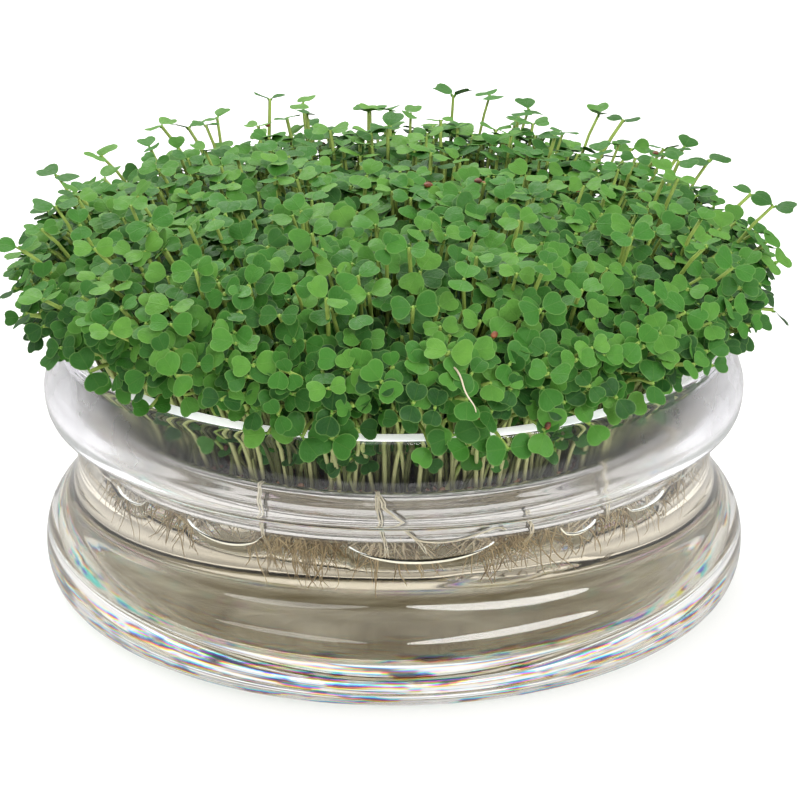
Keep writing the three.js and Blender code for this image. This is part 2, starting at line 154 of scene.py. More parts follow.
def end_fans(rows, columns):
    """Triangles from the first and the last row of a grid to two end points, numbered after the grid."""
    around = np.arange(columns)
    onward = (around + 1) % columns
    foot, last = rows * columns, (rows - 1) * columns
    return np.concatenate([
        np.stack([np.full(columns, foot), onward, around], axis=1),
        np.stack([np.full(columns, foot + 1), last + around, last + onward], axis=1),
    ])


def turn_profile(radius, height, turns):
    """Turn a profile about the upright axis: x = r cos a, y = r sin a. Both ends of it lie on the axis."""
    radius, height = (np.asarray(run, float).reshape(len(run), -1) for run in (radius, height))
    rings = around_axis(radius, full_turn(turns), height)[1:-1]
    ends = [[0, 0, height[0].mean()], [0, 0, height[-1].mean()]]
    points = np.concatenate([rings.reshape(-1, 3), ends])
    return points, [grid_faces(len(rings), turns), end_fans(len(rings), turns)]


def repeat_faces(faces, count, each):
    """The faces of one shape for count copies of it, whose point numbers run on by each."""
    shift = (np.arange(count) * each)[:, None, None]
    return [(block + shift).reshape(-1, block.shape[1]) for block in faces]


def tubes(paths, radii, sides):
    """Tubes along n paths of m points: each ring is centre + r (cos a * across + sin a * other)."""
    count, steps, _ = paths.shape
    along = unit(np.gradient(paths, axis=1))
    aside = np.where(np.abs(along[:, :1, :1]) < 0.8, [1.0, 0.0, 0.0], [0.0, 1.0, 0.0])
    across = unit(np.cross(along, aside))
    other = np.cross(along, across)
    angle = full_turn(sides)[:, None]
    wheel = across[:, :, None] * np.cos(angle) + other[:, :, None] * np.sin(angle)
    rings = paths[:, :, None] + radii[:, :, None, None] * wheel
    ends = np.stack([paths[:, 0], paths[:, -1]], axis=1)
    points = np.concatenate([rings.reshape(count, -1, 3), ends], axis=1)
    faces = [grid_faces(steps, sides), end_fans(steps, sides)]
    return points.reshape(-1, 3), repeat_faces(faces, count, points.shape[1])


print("3 rings of 4 points make", len(grid_faces(3, 4)), "quads and", len(end_fans(3, 4)), "triangles")

# %% [markdown]
# ## Finishes
# Each finish is a material of its own, built from nodes. A small helper makes the Principled shader and
# sets the numbers that are the same all over, and short ones for single nodes keep each finish readable.

# %% Helpers for nodes


def new_material(name, **sockets):
    """A material with one Principled shader whose named sockets are set to plain values."""
    material = bpy.data.materials.new(name)
    material.use_nodes = True
    shader = material.node_tree.nodes["Principled BSDF"]
    for key, value in sockets.items():
        shader.inputs[key.replace("_", " ")].default_value = value
    return material, material.node_tree, shader


def feed(tree, shader, **outputs):
    """Links other nodes' outputs to the shader's named sockets."""
    for key, output in outputs.items():
        tree.links.new(output, shader.inputs[key.replace("_", " ")])


def add_node(tree, kind, settings=None, **inputs):
    """A node with its settings. Its inputs go by name, or by i and a number, and take outputs or values."""
    node = tree.nodes.new(kind)
    for key, value in (settings or {}).items():
        setattr(node, key, value)
    for key, value in inputs.items():
        numbered = key[0] == "i" and key[1:].isdigit()
        socket = node.inputs[int(key[1:]) if numbered else key]
        if isinstance(value, bpy.types.NodeSocket):
            tree.links.new(value, socket)
        else:
            socket.default_value = value
    return node


def maths(tree, operation, first, second=0.0, third=0.0):
    """One step of arithmetic, as a node."""
    node = add_node(tree, "ShaderNodeMath", {"operation": operation}, i0=first, i1=second, i2=third)
    return node.outputs[0]


def product(tree, first, *others):
    """Values multiplied one after the other."""
    for value in others:
        first = maths(tree, "MULTIPLY", first, value)
    return first


def vector_maths(tree, operation, first, second=(0, 0, 0)):
    """One step of arithmetic on vectors, as a node. A length comes out as a plain value."""
    node = add_node(tree, "ShaderNodeVectorMath", {"operation": operation}, i0=first, i1=second)
    return node.outputs["Value" if operation == "LENGTH" else "Vector"]


def mix_colour(tree, share, first, second):
    """Two colours mixed by a share from 0 to 1. Each is an output, or red, green and blue."""
    pair = [end if isinstance(end, bpy.types.NodeSocket) else (*end, 1) for end in (first, second)]
    return add_node(tree, "ShaderNodeMix", {"data_type": "RGBA"}, i0=share, i6=pair[0], i7=pair[1]).outputs[2]


def bump(tree, height, strength, depth):
    """A normal tilted by a height map, with its depth in mm."""
    return add_node(tree, "ShaderNodeBump", Height=height, Strength=strength, Distance=depth * MM).outputs[0]


# %% [markdown]
# Where a point lies decides much of its finish on this object: fog sits inside, haze at the sides. These
# helpers read the place of the shaded point and carry a distance smoothly into a mask.

# %% Helpers for masks by place


def parts_of(tree, vector):
    """The x, y and z of a vector."""
    return tuple(add_node(tree, "ShaderNodeSeparateXYZ", Vector=vector).outputs)


def object_place(tree):
    """The place of the shaded point in the frame, in metres."""
    return add_node(tree, "ShaderNodeTexCoord").outputs["Object"]


def sideways(tree):
    """How far the point lies to the left or right of the middle: |x|."""
    return maths(tree, "ABSOLUTE", parts_of(tree, object_place(tree))[0])


def off_axis(tree, shift=(0, 0, 0), stretch=(1, 1, 0)):
    """Distance from the upright axis: the length of (place + shift) * stretch, whose z is made nought."""
    moved = vector_maths(tree, "ADD", object_place(tree), shift)
    return vector_maths(tree, "LENGTH", vector_maths(tree, "MULTIPLY", moved, stretch))


def between(tree, value, low, high, out_low=0.0, out_high=1.0):
    """A value carried smoothly from one range to another, and held at the ends."""
    settings = {"interpolation_type": "SMOOTHSTEP"}
    inputs = {"i0": value, "i1": low, "i2": high, "i3": out_low, "i4": out_high}
    return add_node(tree, "ShaderNodeMapRange", settings, **inputs).outputs[0]


def over_range(tree, distance, ends, out_low=0.0, out_high=1.0):
    """The same for a distance in metres and a range whose two ends are given in mm."""
    return between(tree, distance, ends[0] * MM, ends[1] * MM, out_low, out_high)


# %% [markdown]
# Most surfaces here are patchy in some way: cloudy, grained, mottled or streaked. That one effect is a
# node group, so each finish can place it with its own scale. A stretched copy makes grain and streaks.

# %% A node group for patches
PATCHES_INPUTS = {"Scale": 100.0, "Detail": 3.0, "Low": 0.3, "High": 0.7, "Stretch": 1.0, "Shift": 0.0}


def patches_group():
    """A node group: noise on Object coordinates, carried from Low..High to a mask from 0 to 1."""
    group = bpy.data.node_groups.new("patches", "ShaderNodeTree")
    for name, value in PATCHES_INPUTS.items():
        socket = group.interface.new_socket(name, in_out="INPUT", socket_type="NodeSocketFloat")
        socket.default_value = value
    group.interface.new_socket("Mask", in_out="OUTPUT", socket_type="NodeSocketFloat")
    given = group.nodes.new("NodeGroupInput").outputs
    lifted = add_node(group, "ShaderNodeCombineXYZ", Z=given["Shift"]).outputs[0]
    long_way = add_node(group, "ShaderNodeCombineXYZ", X=1.0, Y=1.0, Z=given["Stretch"]).outputs[0]
    place = vector_maths(group, "ADD", object_place(group), lifted)
    place = vector_maths(group, "MULTIPLY", place, long_way)
    noise = add_node(group, "ShaderNodeTexNoise", Vector=place, Scale=given["Scale"], Detail=given["Detail"])
    mask = between(group, noise.outputs[0], given["Low"], given["High"])
    group.links.new(mask, group.nodes.new("NodeGroupOutput").inputs["Mask"])
    return group


PATCHES = patches_group()
print("node group:", PATCHES.name, len(PATCHES.nodes), "nodes")


def patches(tree, scale, low=0.3, high=0.7, detail=3.0, stretch=1.0, shift=0.0):
    """The patches group placed in a material: its scale counts features in a metre."""
    inputs = {"Scale": scale, "Detail": detail, "Low": low, "High": high, "Stretch": stretch, "Shift": shift}
    return add_node(tree, "ShaderNodeGroup", {"node_tree": PATCHES}, **inputs).outputs["Mask"]


# %% [markdown]
# ## Glass dish
# The dish is one piece of pressed glass, so it is one turned profile: flat underside, rounded foot,
# drawn-in waist, a bowl that closes a little at its rounded rim, and the same line again inside. The
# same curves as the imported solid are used, with many more steps, because glass shows every facet.

# %% Profile of the dish
# Places on the outer wall as (radius, height), and thicknesses.
FOOT, BELLY, WAIST, BULGE, RIM = (64, 0), (70, 7.4), (63, 27.3), (69, 40.3), (65.8, 49.3)
WALL, FOOT_WALL, FLOOR, CORNER = 4.4, 7.0, 6.0, 6
RIM_THICKNESS, RIM_CREST, LIP_ROUND, LIP_STEPS = 3.8, 1.9, 0.9, 8
# How far a curve runs on from each place before it bends: outside, inside, and about the rim on both.
OUTSIDE = dict(foot_out=3.6, belly_down=5.6, belly_up=10.5, waist_down=12.6, waist_up=13, bulge_down=9.6)
INSIDE = dict(bulge_down=9, waist_up=11, waist_down=7, belly_up=7, belly_down=5, floor_out=4)
BULGE_UP, RIM_OUT, RIM_DOWN, RIM_UP, CREST_OUT = 1.8, 1.1, 2.7, 1.3, 0.4
UNDERSIDE_RINGS, FLOOR_RINGS = (0, 20, 40, 56), (40, 20, 0)


def off(place, out, up):
    """A (radius, height) place moved outwards and upwards."""
    return (place[0] + out, place[1] + up)


def along_wall(start, end, run_out, run_in):
    """A curve that leaves and meets its ends upright, running on by the given heights."""
    return bezier(start, off(start, 0, run_out), off(end, 0, run_in), end)


def flat_rings(radii, height):
    """Places at the given radii, all at one height."""
    return np.stack([radii, np.full(len(radii), height)], axis=1)


def inner_wall(inset, off_floor=None):
    """The inner wall from the rim down to the floor, moved in by the inset and up off the floor."""
    off_floor = inset if off_floor is None else off_floor
    rim = (RIM[0] - RIM_THICKNESS - inset, RIM[1])
    bulge = (BULGE[0] - WALL - inset, BULGE[1])
    waist = (WAIST[0] - WALL - inset, WAIST[1])
    belly = (BELLY[0] - FOOT_WALL - inset, FLOOR + CORNER + off_floor)
    floor = (belly[0] - CORNER, FLOOR + off_floor)
    return np.concatenate([
        [rim],
        bezier(rim, off(rim, RIM_OUT, -RIM_DOWN), off(bulge, 0, BULGE_UP), bulge),
        along_wall(bulge, waist, -INSIDE["bulge_down"], INSIDE["waist_up"]),
        along_wall(waist, belly, -INSIDE["waist_down"], INSIDE["belly_up"]),
        bezier(belly, off(belly, 0, -INSIDE["belly_down"]), off(floor, INSIDE["floor_out"], 0), floor),
    ])


def wall_radius(height, inset, off_floor=None):
    """Radius of the inner wall at a height, read between the points of its curve."""
    return np.interp(height, *inner_wall(inset, off_floor)[::-1, ::-1].T)


def dish_profile():
    """The whole closed outline of the dish's wall, from the axis below to the axis above the floor."""
    inner_rim = (RIM[0] - RIM_THICKNESS, RIM[1])
    lip_out, lip_in = off(RIM, -LIP_ROUND, RIM_CREST), off(inner_rim, LIP_ROUND, RIM_CREST)
    return np.concatenate([
        flat_rings((*UNDERSIDE_RINGS, FOOT[0]), FOOT[1]),
        bezier(FOOT, off(FOOT, OUTSIDE["foot_out"], 0), off(BELLY, 0, -OUTSIDE["belly_down"]), BELLY),
        along_wall(BELLY, WAIST, OUTSIDE["belly_up"], -OUTSIDE["waist_down"]),
        along_wall(WAIST, BULGE, OUTSIDE["waist_up"], -OUTSIDE["bulge_down"]),
        bezier(BULGE, off(BULGE, 0, BULGE_UP), off(RIM, RIM_OUT, -RIM_DOWN), RIM),
        bezier(RIM, off(RIM, 0, RIM_UP), off(lip_out, CREST_OUT, 0), lip_out, LIP_STEPS),
        bezier(lip_in, off(lip_in, -CREST_OUT, 0), off(inner_rim, 0, RIM_UP), inner_rim, LIP_STEPS),
        inner_wall(0)[1:],
        flat_rings(FLOOR_RINGS, FLOOR),
    ])


profile = dish_profile()
print("profile:", len(profile), "points, up to", profile[:, 1].max(), "mm")

# %% [markdown]
# The glass is clear, with a faint fog of condensed damp inside the bowl, above the sieve. Fog is roughness
# and a little grey, so a mask by place sets both and leaves the rest polished. It is thin in front, where
# the photo looks in. Towards the sides the bowl is painted a greyer shade, where glass seen at a slant shows
# darker surroundings. The thick foot splits light like a prism, which the renderer can't do, so streaks of
# noise, one for each of red, green and blue, give it that play.

# %% Clear glass with a fogged bowl
# Where masks begin and end, in mm: fog by radius, height and side, painted side shade and streaks by height
# and outwards.
FOG_INSIDE, FOG_BEGINS, FOG_ENDS, FOG_ASIDE = (64.7, 65.6), (36, 39), (46.5, 48.5), (20, 48)
SIDE_SHADE_BEGINS, SIDE_SHADE_ASIDE, STREAKS_END, STREAKS_OUT = (33, 37), (36, 66), (8.6, 9.6), (58, 62)
FOG_IN_FRONT, FOG_CLOUDS, FOG_LEAST, FOG_ROUGHNESS = 0.05, 0.25, 0.6, 0.35
STREAK_DEPTH, STREAK_SPLIT, STREAK_STRETCH = 0.96, 0.27, 11
CLEAR_GLASS, SIDE_SHADE_GLASS, FOGGED_GLASS = (0.985, 0.992, 0.988), (0.705, 0.70, 0.735), (0.72, 0.71, 0.75)
GLASS_TINT = (0.88, 0.90, 0.89, 1)
DISH_TURNS = 192


def let_light_in(tree, shader, tint):
    """Lamps' rays and light on its way between dull surfaces pass straight through, so the inside is lit."""
    path = add_node(tree, "ShaderNodeLightPath")
    passing = maths(tree, "MAXIMUM", path.outputs["Is Shadow Ray"], path.outputs["Is Diffuse Ray"])
    clear = add_node(tree, "ShaderNodeBsdfTransparent", Color=tint).outputs[0]
    mixed = add_node(tree, "ShaderNodeMixShader", i0=passing, i1=shader.outputs[0], i2=clear).outputs[0]
    tree.links.new(mixed, tree.nodes["Material Output"].inputs["Surface"])


def prism_hues(tree):
    """The same streaks read at three heights for red, green and blue, so their edges part into hues."""
    shifts = (-STREAK_SPLIT * MM, 0.0, STREAK_SPLIT * MM)
    streaks = [patches(tree, 120, 0.52, 0.6, 5, stretch=STREAK_STRETCH, shift=shift) for shift in shifts]
    hues = [maths(tree, "MULTIPLY_ADD", streak, -STREAK_DEPTH, 1.0) for streak in streaks]
    return add_node(tree, "ShaderNodeCombineColor", i0=hues[0], i1=hues[1], i2=hues[2]).outputs[0]


def glass_finish():
    """Clear glass whose colour is mixed by masks to painted side shade, then fog, then hues. Fog also makes
    it rough.
    """
    material, tree, shader = new_material("clear_glass", IOR=1.5, Transmission_Weight=1.0)
    height, radius, aside = parts_of(tree, object_place(tree))[2], off_axis(tree), sideways(tree)
    fog = product(
        tree,
        over_range(tree, radius, FOG_INSIDE, 1.0, 0.0),
        over_range(tree, height, FOG_BEGINS),
        over_range(tree, height, FOG_ENDS, 1.0, 0.0),
        maths(tree, "MULTIPLY_ADD", patches(tree, 90, 0.38, 0.62, detail=4), FOG_CLOUDS, FOG_LEAST),
        over_range(tree, aside, FOG_ASIDE, FOG_IN_FRONT, 1.0),
    )
    # Painted shade: the glass grows greyer towards the sides of the bowl, above the waist.
    side_shade = product(tree, over_range(tree, height, SIDE_SHADE_BEGINS), over_range(tree, aside, SIDE_SHADE_ASIDE))
    low = over_range(tree, height, STREAKS_END, 1.0, 0.0)
    in_foot = product(tree, low, over_range(tree, radius, STREAKS_OUT))
    colour = mix_colour(tree, side_shade, CLEAR_GLASS, SIDE_SHADE_GLASS)
    colour = mix_colour(tree, fog, colour, FOGGED_GLASS)
    colour = mix_colour(tree, in_foot, colour, prism_hues(tree))
    feed(tree, shader, Base_Color=colour, Roughness=product(tree, fog, FOG_ROUGHNESS))
    let_light_in(tree, shader, GLASS_TINT)
    return material


dish = make_piece("dish_glass", *turn_profile(profile[:, 0], profile[:, 1], DISH_TURNS), glass_finish())
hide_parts("glass_dish")

# %% [markdown]
# The lip shows as a white line, which is a painted highlight: it stands in for a lamp's reflection on the
# rounded lip. It is a thin ring of its own on top of the glass, because a matt white skin needs another
# finish than clear glass. The wall leads light up into it, and that light is painted too: the ring glows a
# little by itself. To the left and right it grows clear, as in the photo, by its Alpha.

# %% Painted highlight and glow on the lip
LIP_SKIN, LIP_EDGE, LIP_BEVEL, LIP_SINK = 0.12, 0.5, 0.2, 0.05
LIP_CLEARS, LIP_CLEAR_ALPHA = (22.0, 54.0), 0.25


def turn_section(section, turns=192):
    """A closed section of (radius, height) points, turned about the axis into a ring."""
    points = around_axis(section[:, :1], full_turn(turns), section[:, 1:])
    return points.reshape(-1, 3), [grid_faces(len(section), turns, close_rows=True)]


def painted_rim_highlight_finish():
    """Painted highlight: matt white with a fine grain, and a painted glow. Alpha falls with |x|."""
    # Emission_Strength paints a glow: the lip is no lamp.
    material, tree, shader = new_material("painted_rim_highlight", Roughness=0.4, Emission_Strength=0.65)
    colour = mix_colour(tree, patches(tree, 120), (0.80, 0.83, 0.83), (0.94, 0.95, 0.95))
    alpha = over_range(tree, sideways(tree), LIP_CLEARS, 1.0, LIP_CLEAR_ALPHA)
    grain = bump(tree, patches(tree, 1200), 0.2, 0.1)
    feed(tree, shader, Base_Color=colour, Emission_Color=colour, Alpha=alpha, Normal=grain)
    return material


crest, lip_inner, lip_outer = RIM[1] + RIM_CREST, RIM[0] - RIM_THICKNESS + LIP_EDGE, RIM[0] - LIP_EDGE
lip_section = np.array([
    (lip_inner, crest - LIP_SKIN),
    (lip_outer, crest - LIP_SKIN),
    (lip_outer + LIP_BEVEL, crest - LIP_SINK),
    (lip_outer, crest + LIP_SKIN),
    (lip_inner, crest + LIP_SKIN),
    (lip_inner - LIP_BEVEL, crest - LIP_SINK),
])
lip = make_piece("dish_lip_painted_highlight", *turn_section(lip_section), painted_rim_highlight_finish())

# %% [markdown]
# ## Water
# The water fills the foot and the waist. Its skin reaches a little way into the glass, so no false film
# of air shows between the two. Under the sieve's ring some air is trapped against the wall: there the top of
# the water is pressed down in shallow bays, whose bright crescents are painted reflections on slim beads.

# %% Surface of the water, with trapped air at its edge
WATER_LEVEL, INTO_GLASS, OFF_FLOOR = 29.4, -0.2, 0.05
# Angle of each pocket's middle in degrees, its half width in degrees, and its depth in mm.
AIR_POCKETS = ((216, 5, 2.6), (239, 8, 4.0), (275, 13, 4.3), (304, 4, 2.8), (321, 6, 2.6), (75, 9, 3.0))
# Rings of the top as distances in from the wall, and the pockets' shape along them.
TOP_RINGS = (0, 0.12, 0.28, 0.5, 0.8, 1.2, 1.8, 2.8, 4.0, 5.2, 6.4, 8, 20, 40)
POCKET_LEVEL, POCKET_SLOPE, POCKET_POWER = 1.8, 5, 0.7
CLIMB, CLIMB_WIDTH = 0.28, 0.4
BELOW_POCKETS = 5


def water_surface(turns=288):
    """The wall's own curve, then the level top, pressed down near the wall by half an ellipse for each
    pocket. Against the glass the pressed skin climbs again by a falling exponential, as wet edges do."""
    wall = inner_wall(INTO_GLASS, OFF_FLOOR)
    wall = wall[wall[:, 1] < WATER_LEVEL - BELOW_POCKETS][::-1]
    wall = np.concatenate([flat_rings(FLOOR_RINGS[::-1], wall[0, 1]), wall])
    angle = np.degrees(full_turn(turns))
    press = np.zeros(turns)
    for middle, half, depth in AIR_POCKETS:
        away = np.abs((angle - middle + 180) % 360 - 180) / half
        press = np.maximum(press, depth * np.sqrt(np.clip(1 - away**2, 0, 1)))
    inward = np.array(TOP_RINGS)[:, None]
    slope = np.clip((inward - POCKET_LEVEL) / POCKET_SLOPE, 0, 1)
    hold = np.clip(np.cos(np.pi / 2 * slope), 0, 1) ** POCKET_POWER
    climb = CLIMB * np.exp(-inward / CLIMB_WIDTH)
    edge = wall_radius(WATER_LEVEL - press, INTO_GLASS, OFF_FLOOR)
    wall_radii, wall_heights = (np.repeat(wall[:, i : i + 1], turns, axis=1) for i in (0, 1))
    middle_height = np.full((1, turns), WATER_LEVEL)
    radius = np.concatenate([wall_radii, edge - inward, np.zeros((1, turns))])
    height = np.concatenate([wall_heights, WATER_LEVEL - press * (hold - climb), middle_height])
    return turn_profile(radius, height, turns)


water_points, water_faces = water_surface()
print("water up to", water_points[:, 2].max(), "mm, air pockets:", len(AIR_POCKETS))

# %% [markdown]
# The water is tinted by the seeds' husks. Real murk would be a volume, which is slow and noisy inside
# glass, so the tint lies in the colour of the water's skin: patchy, and clearer towards the sides, where
# there is less water to look through.

# %% Tan water
MURKY, MURKY_PALE, CLEARER_WATER = (0.68, 0.60, 0.465), (0.75, 0.67, 0.535), (0.87, 0.82, 0.75)
WATER_BASE, WATER_TINT = (0.73, 0.655, 0.525, 1), (0.92, 0.89, 0.82, 1)
WATER_CLEARS = (26.0, 60.0)


def water_finish():
    """Patches of two tans, mixed towards a clearer one with |x|."""
    look = dict(Base_Color=WATER_BASE, Roughness=0.035, IOR=1.333, Transmission_Weight=1.0)
    material, tree, shader = new_material("tan_water", **look)
    colour = mix_colour(tree, patches(tree, 45, 0.35, 0.65), MURKY, MURKY_PALE)
    colour = mix_colour(tree, over_range(tree, sideways(tree), WATER_CLEARS), colour, CLEARER_WATER)
    feed(tree, shader, Base_Color=colour)
    let_light_in(tree, shader, WATER_TINT)
    return material


water = make_piece("tan_water", water_points, water_faces, water_finish())
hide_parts("water")

# %% [markdown]
# Seen from below, the edge of trapped air is a mirror and shines like silver. That reflection is painted:
# each pocket gets a slim pale bead along its lower edge that glows a little, drawn as a tube that thins out
# to both ends.

# %% Painted reflections at the edges of the trapped air
BEAD_RADIUS, BEAD_OFF_WALL, BEAD_LIFT, BEAD_SPAN = 0.42, 0.15, 0.2, 0.97


def bead_paths(steps=25):
    """Along the lower edge of each pocket: height = level - depth * sqrt(1 - t^2), just inside the wall."""
    t = np.linspace(-BEAD_SPAN, BEAD_SPAN, steps)
    pockets = np.array(AIR_POCKETS, float)
    angle = np.radians(pockets[:, :1] + pockets[:, 1:2] * t)
    height = WATER_LEVEL - pockets[:, 2:] * np.sqrt(1 - t**2) + BEAD_LIFT
    path = around_axis(wall_radius(height, BEAD_RADIUS + BEAD_OFF_WALL), angle, height)
    return path, np.broadcast_to(BEAD_RADIUS * np.sqrt(1 - t**4), path.shape[:2])


def painted_reflection_finish():
    """Painted reflection: smooth pale grey in faint patches, which glows a little though it is no lamp."""
    material, tree, shader = new_material("painted_silver_reflection", Roughness=0.15, Emission_Strength=0.45)
    colour = mix_colour(tree, patches(tree, 300), (0.86, 0.86, 0.84), (0.97, 0.97, 0.96))
    feed(tree, shader, Base_Color=colour, Emission_Color=colour)
    return material


reflection_beads = make_piece("painted_silver_edges", *tubes(*bead_paths(), 8), painted_reflection_finish())

# %% [markdown]
# ## Sieve
# The insert is thin polished steel. Its ring is a profile that closes on itself: an upright band with two
# grooves, a rolled bead on top and a ledge inside its foot. A turned section keeps it crisp, where a
# bevelled cylinder would need many loops for the same bead.

# %% Ring of the sieve
GAP = 0.3
RING_FOOT, RING_HEIGHT, RING_WALL, RING_BEAD, RING_LEDGE, LEDGE_THICKNESS = 29.6, 8.4, 0.9, 1.1, 3.0, 0.8
RING_RADIUS = wall_radius(RING_FOOT, 0) - GAP
GROOVES, GROOVE_DEPTH, GROOVE_HALF = (1.5, 3.6), 0.28, 0.42
# Roundings of the ledge's edge, the band's foot, the inner corner, and what the bead leaves free.
EDGE_ROUND, FOOT_ROUND, FOOT_CUT, FILLET, BELOW_BEAD, INNER_TOP = 0.15, 0.5, 0.12, 0.4, 0.6, 0.5
ROLL_FROM, ROLL_TO, ROLL_STEPS = -90, 120, 12
STEEL = (0.60, 0.57, 0.55, 1)


def groove(height):
    """Seven points of a round groove across the band: the radius dips by half a cosine wave."""
    way = np.linspace(-1, 1, 7)
    dip = GROOVE_DEPTH * (0.5 + 0.5 * np.cos(np.pi * way))
    return np.stack([RING_RADIUS - dip, height + GROOVE_HALF * way], axis=1)


def ring_surface():
    """The band's section, rounded at its corners and closed on itself, turned about the axis."""
    inner, ledge = RING_RADIUS - RING_WALL, RING_RADIUS - RING_WALL - RING_LEDGE
    top, ledge_top = RING_FOOT + RING_HEIGHT, RING_FOOT + LEDGE_THICKNESS
    roll = np.radians(np.linspace(ROLL_FROM, ROLL_TO, ROLL_STEPS))
    bead = RING_BEAD * np.stack([np.cos(roll), np.sin(roll)], axis=1) + (RING_RADIUS, top - RING_BEAD)
    section = np.concatenate([
        [(ledge, RING_FOOT + EDGE_ROUND), (ledge + EDGE_ROUND, RING_FOOT)],
        [(RING_RADIUS - FOOT_ROUND, RING_FOOT), (RING_RADIUS - FOOT_CUT, RING_FOOT + FOOT_CUT)],
        [(RING_RADIUS, RING_FOOT + FOOT_ROUND)],
        *[groove(RING_FOOT + height) for height in GROOVES],
        [(RING_RADIUS, top - 2 * RING_BEAD - BELOW_BEAD)],
        bead,
        [(inner, top - INNER_TOP), (inner, ledge_top + FILLET)],
        [(inner - FILLET, ledge_top), (ledge, ledge_top)],
    ])
    return turn_section(section)


def steel_finish(name, roughness):
    """Metal whose roughness is the given value, more in upright grain and in smears."""
    material, tree, shader = new_material(name, Base_Color=STEEL, Metallic=1.0)
    grain = patches(tree, 260, stretch=14)
    smear = patches(tree, 60, 0.35, 0.7, detail=2)
    blur = maths(tree, "MULTIPLY_ADD", maths(tree, "ADD", grain, smear), 0.09, roughness)
    feed(tree, shader, Roughness=blur, Normal=bump(tree, grain, 0.08, 0.2))
    return material


ring = make_piece("sieve_band", *ring_surface(), steel_finish("polished_steel", 0.06))
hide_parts("sieve_ring")

# %% [markdown]
# The sieve's bottom is woven wire: two sets of wires, each waving over and under the other, cut off at
# the ring. A picture of a weave would look flat through the glass, so each wire is a tube with four sides.

# %% Woven bottom of the sieve
PLATE_FOOT = RING_FOOT + LEDGE_THICKNESS + GAP
PLATE_RADIUS = RING_RADIUS - RING_WALL - GAP
WIRE_PITCH, WIRE_RADIUS, WIRE_STEPS = 2.0, 0.2, 81
FIRST_LANE, LAST_LANE = 1, 0.5


def woven_wires():
    """Wires along X and along Y: each runs straight and its height is a wave, in turn over and under."""
    lanes = np.arange(FIRST_LANE - PLATE_RADIUS, PLATE_RADIUS - LAST_LANE, WIRE_PITCH)[:, None]
    run = np.linspace(-1, 1, WIRE_STEPS) * np.sqrt(PLATE_RADIUS**2 - lanes**2)
    wave = WIRE_RADIUS * np.cos(np.pi * (run / WIRE_PITCH + np.arange(len(lanes))[:, None]))
    level = PLATE_FOOT + 2 * WIRE_RADIUS
    across = np.broadcast_to(lanes, run.shape)
    warp = np.stack([run, across, level + wave], axis=-1)
    weft = np.stack([across, run, level - wave], axis=-1)
    paths = np.concatenate([warp, weft])
    return tubes(paths, np.full(paths.shape[:2], WIRE_RADIUS), 4)


wires = make_piece("sieve_weave", *woven_wires(), steel_finish("drawn_wire", 0.2))
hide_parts("sieve_plate")

# %% [markdown]
# ## Roots
# Under the water's skin the oldest roots have knitted into a pale mat, thick in the middle and frayed
# outwards. Thousands of threads would be lost in the murk, so it is a bumpy lens whose Alpha thins out in
# patches. Its faint glow is painted light, for light that scatters in the water and reaches it from all
# sides.

# %% Mat of soaked roots
SOAKED_TOP, SOAKED_DEPTH, SOAKED_RADIUS, SOAKED_RINGS = 28.8, 1.3, 51.0, 30
SOAKED_RAGGED, SOAKED_EDGE, SOAKED_STEP = 0.025, 0.4, 0.6
SOAKED_BUMPS_ABOVE, SOAKED_BUMPS_BELOW = 0.3, 0.8
# The mat's middle lies forward and is wide: where it thins out in mm, and by how much patches differ.
SOAKED_FORWARD, SOAKED_WIDE, SOAKED_THINS, SOAKED_PATCHES = 10.0, 0.75, (28, 50), 8
STRAW = (0.62, 0.52, 0.36)


def ripple(x, y, waves, seed):
    """A bumpy field from -1 to 1: a sum of plane waves with drawn directions, phases and paces."""
    waves_rng = np.random.default_rng(seed)
    total = np.zeros_like(x)
    for _ in range(waves):
        direction = waves_rng.uniform(0, 2 * np.pi)
        phase = waves_rng.uniform(0, 2 * np.pi)
        pace = waves_rng.uniform(0.5, 2.4)
        total += np.sin((x * np.cos(direction) + y * np.sin(direction)) * pace + phase)
    return total / waves


def soaked_surface(turns=200):
    """A lens of knitted roots: two bumpy discs that meet at a ragged edge."""
    below = np.linspace(0, SOAKED_RADIUS, SOAKED_RINGS)
    above = np.linspace(SOAKED_RADIUS - SOAKED_STEP, 0, SOAKED_RINGS)
    angle = full_turn(turns)
    ragged = 1 + SOAKED_RAGGED * ripple(6 * np.cos(angle), 6 * np.sin(angle), 9, 12)
    radius = np.concatenate([below, above])[:, None] * ragged
    rough = ripple(radius * np.cos(angle), radius * np.sin(angle), 14, 5)
    height = SOAKED_TOP - SOAKED_DEPTH * (1 + SOAKED_BUMPS_BELOW * rough)
    height[SOAKED_RINGS:] = SOAKED_TOP + SOAKED_BUMPS_ABOVE * rough[SOAKED_RINGS:]
    height[SOAKED_RINGS - 1 : SOAKED_RINGS + 1] = SOAKED_TOP - SOAKED_EDGE
    return turn_profile(radius, height, turns)


def root_finish(name, dark, pale, relief=0.6, grain=160, painted_glow=0.0):
    """Patches of a dark and a pale colour under fine straw-coloured fibres, which also give the relief.
    painted_glow is painted light.
    """
    look = dict(Roughness=0.75, Specular_IOR_Level=0.3, Emission_Strength=painted_glow)
    material, tree, shader = new_material(name, **look)
    fibre = patches(tree, 700, 0.3, 0.75, detail=4)
    colour = mix_colour(tree, patches(tree, grain), dark, pale)
    colour = mix_colour(tree, product(tree, fibre, 0.4), colour, STRAW)
    feed(tree, shader, Base_Color=colour, Emission_Color=colour, Normal=bump(tree, fibre, relief, 0.5))
    return material


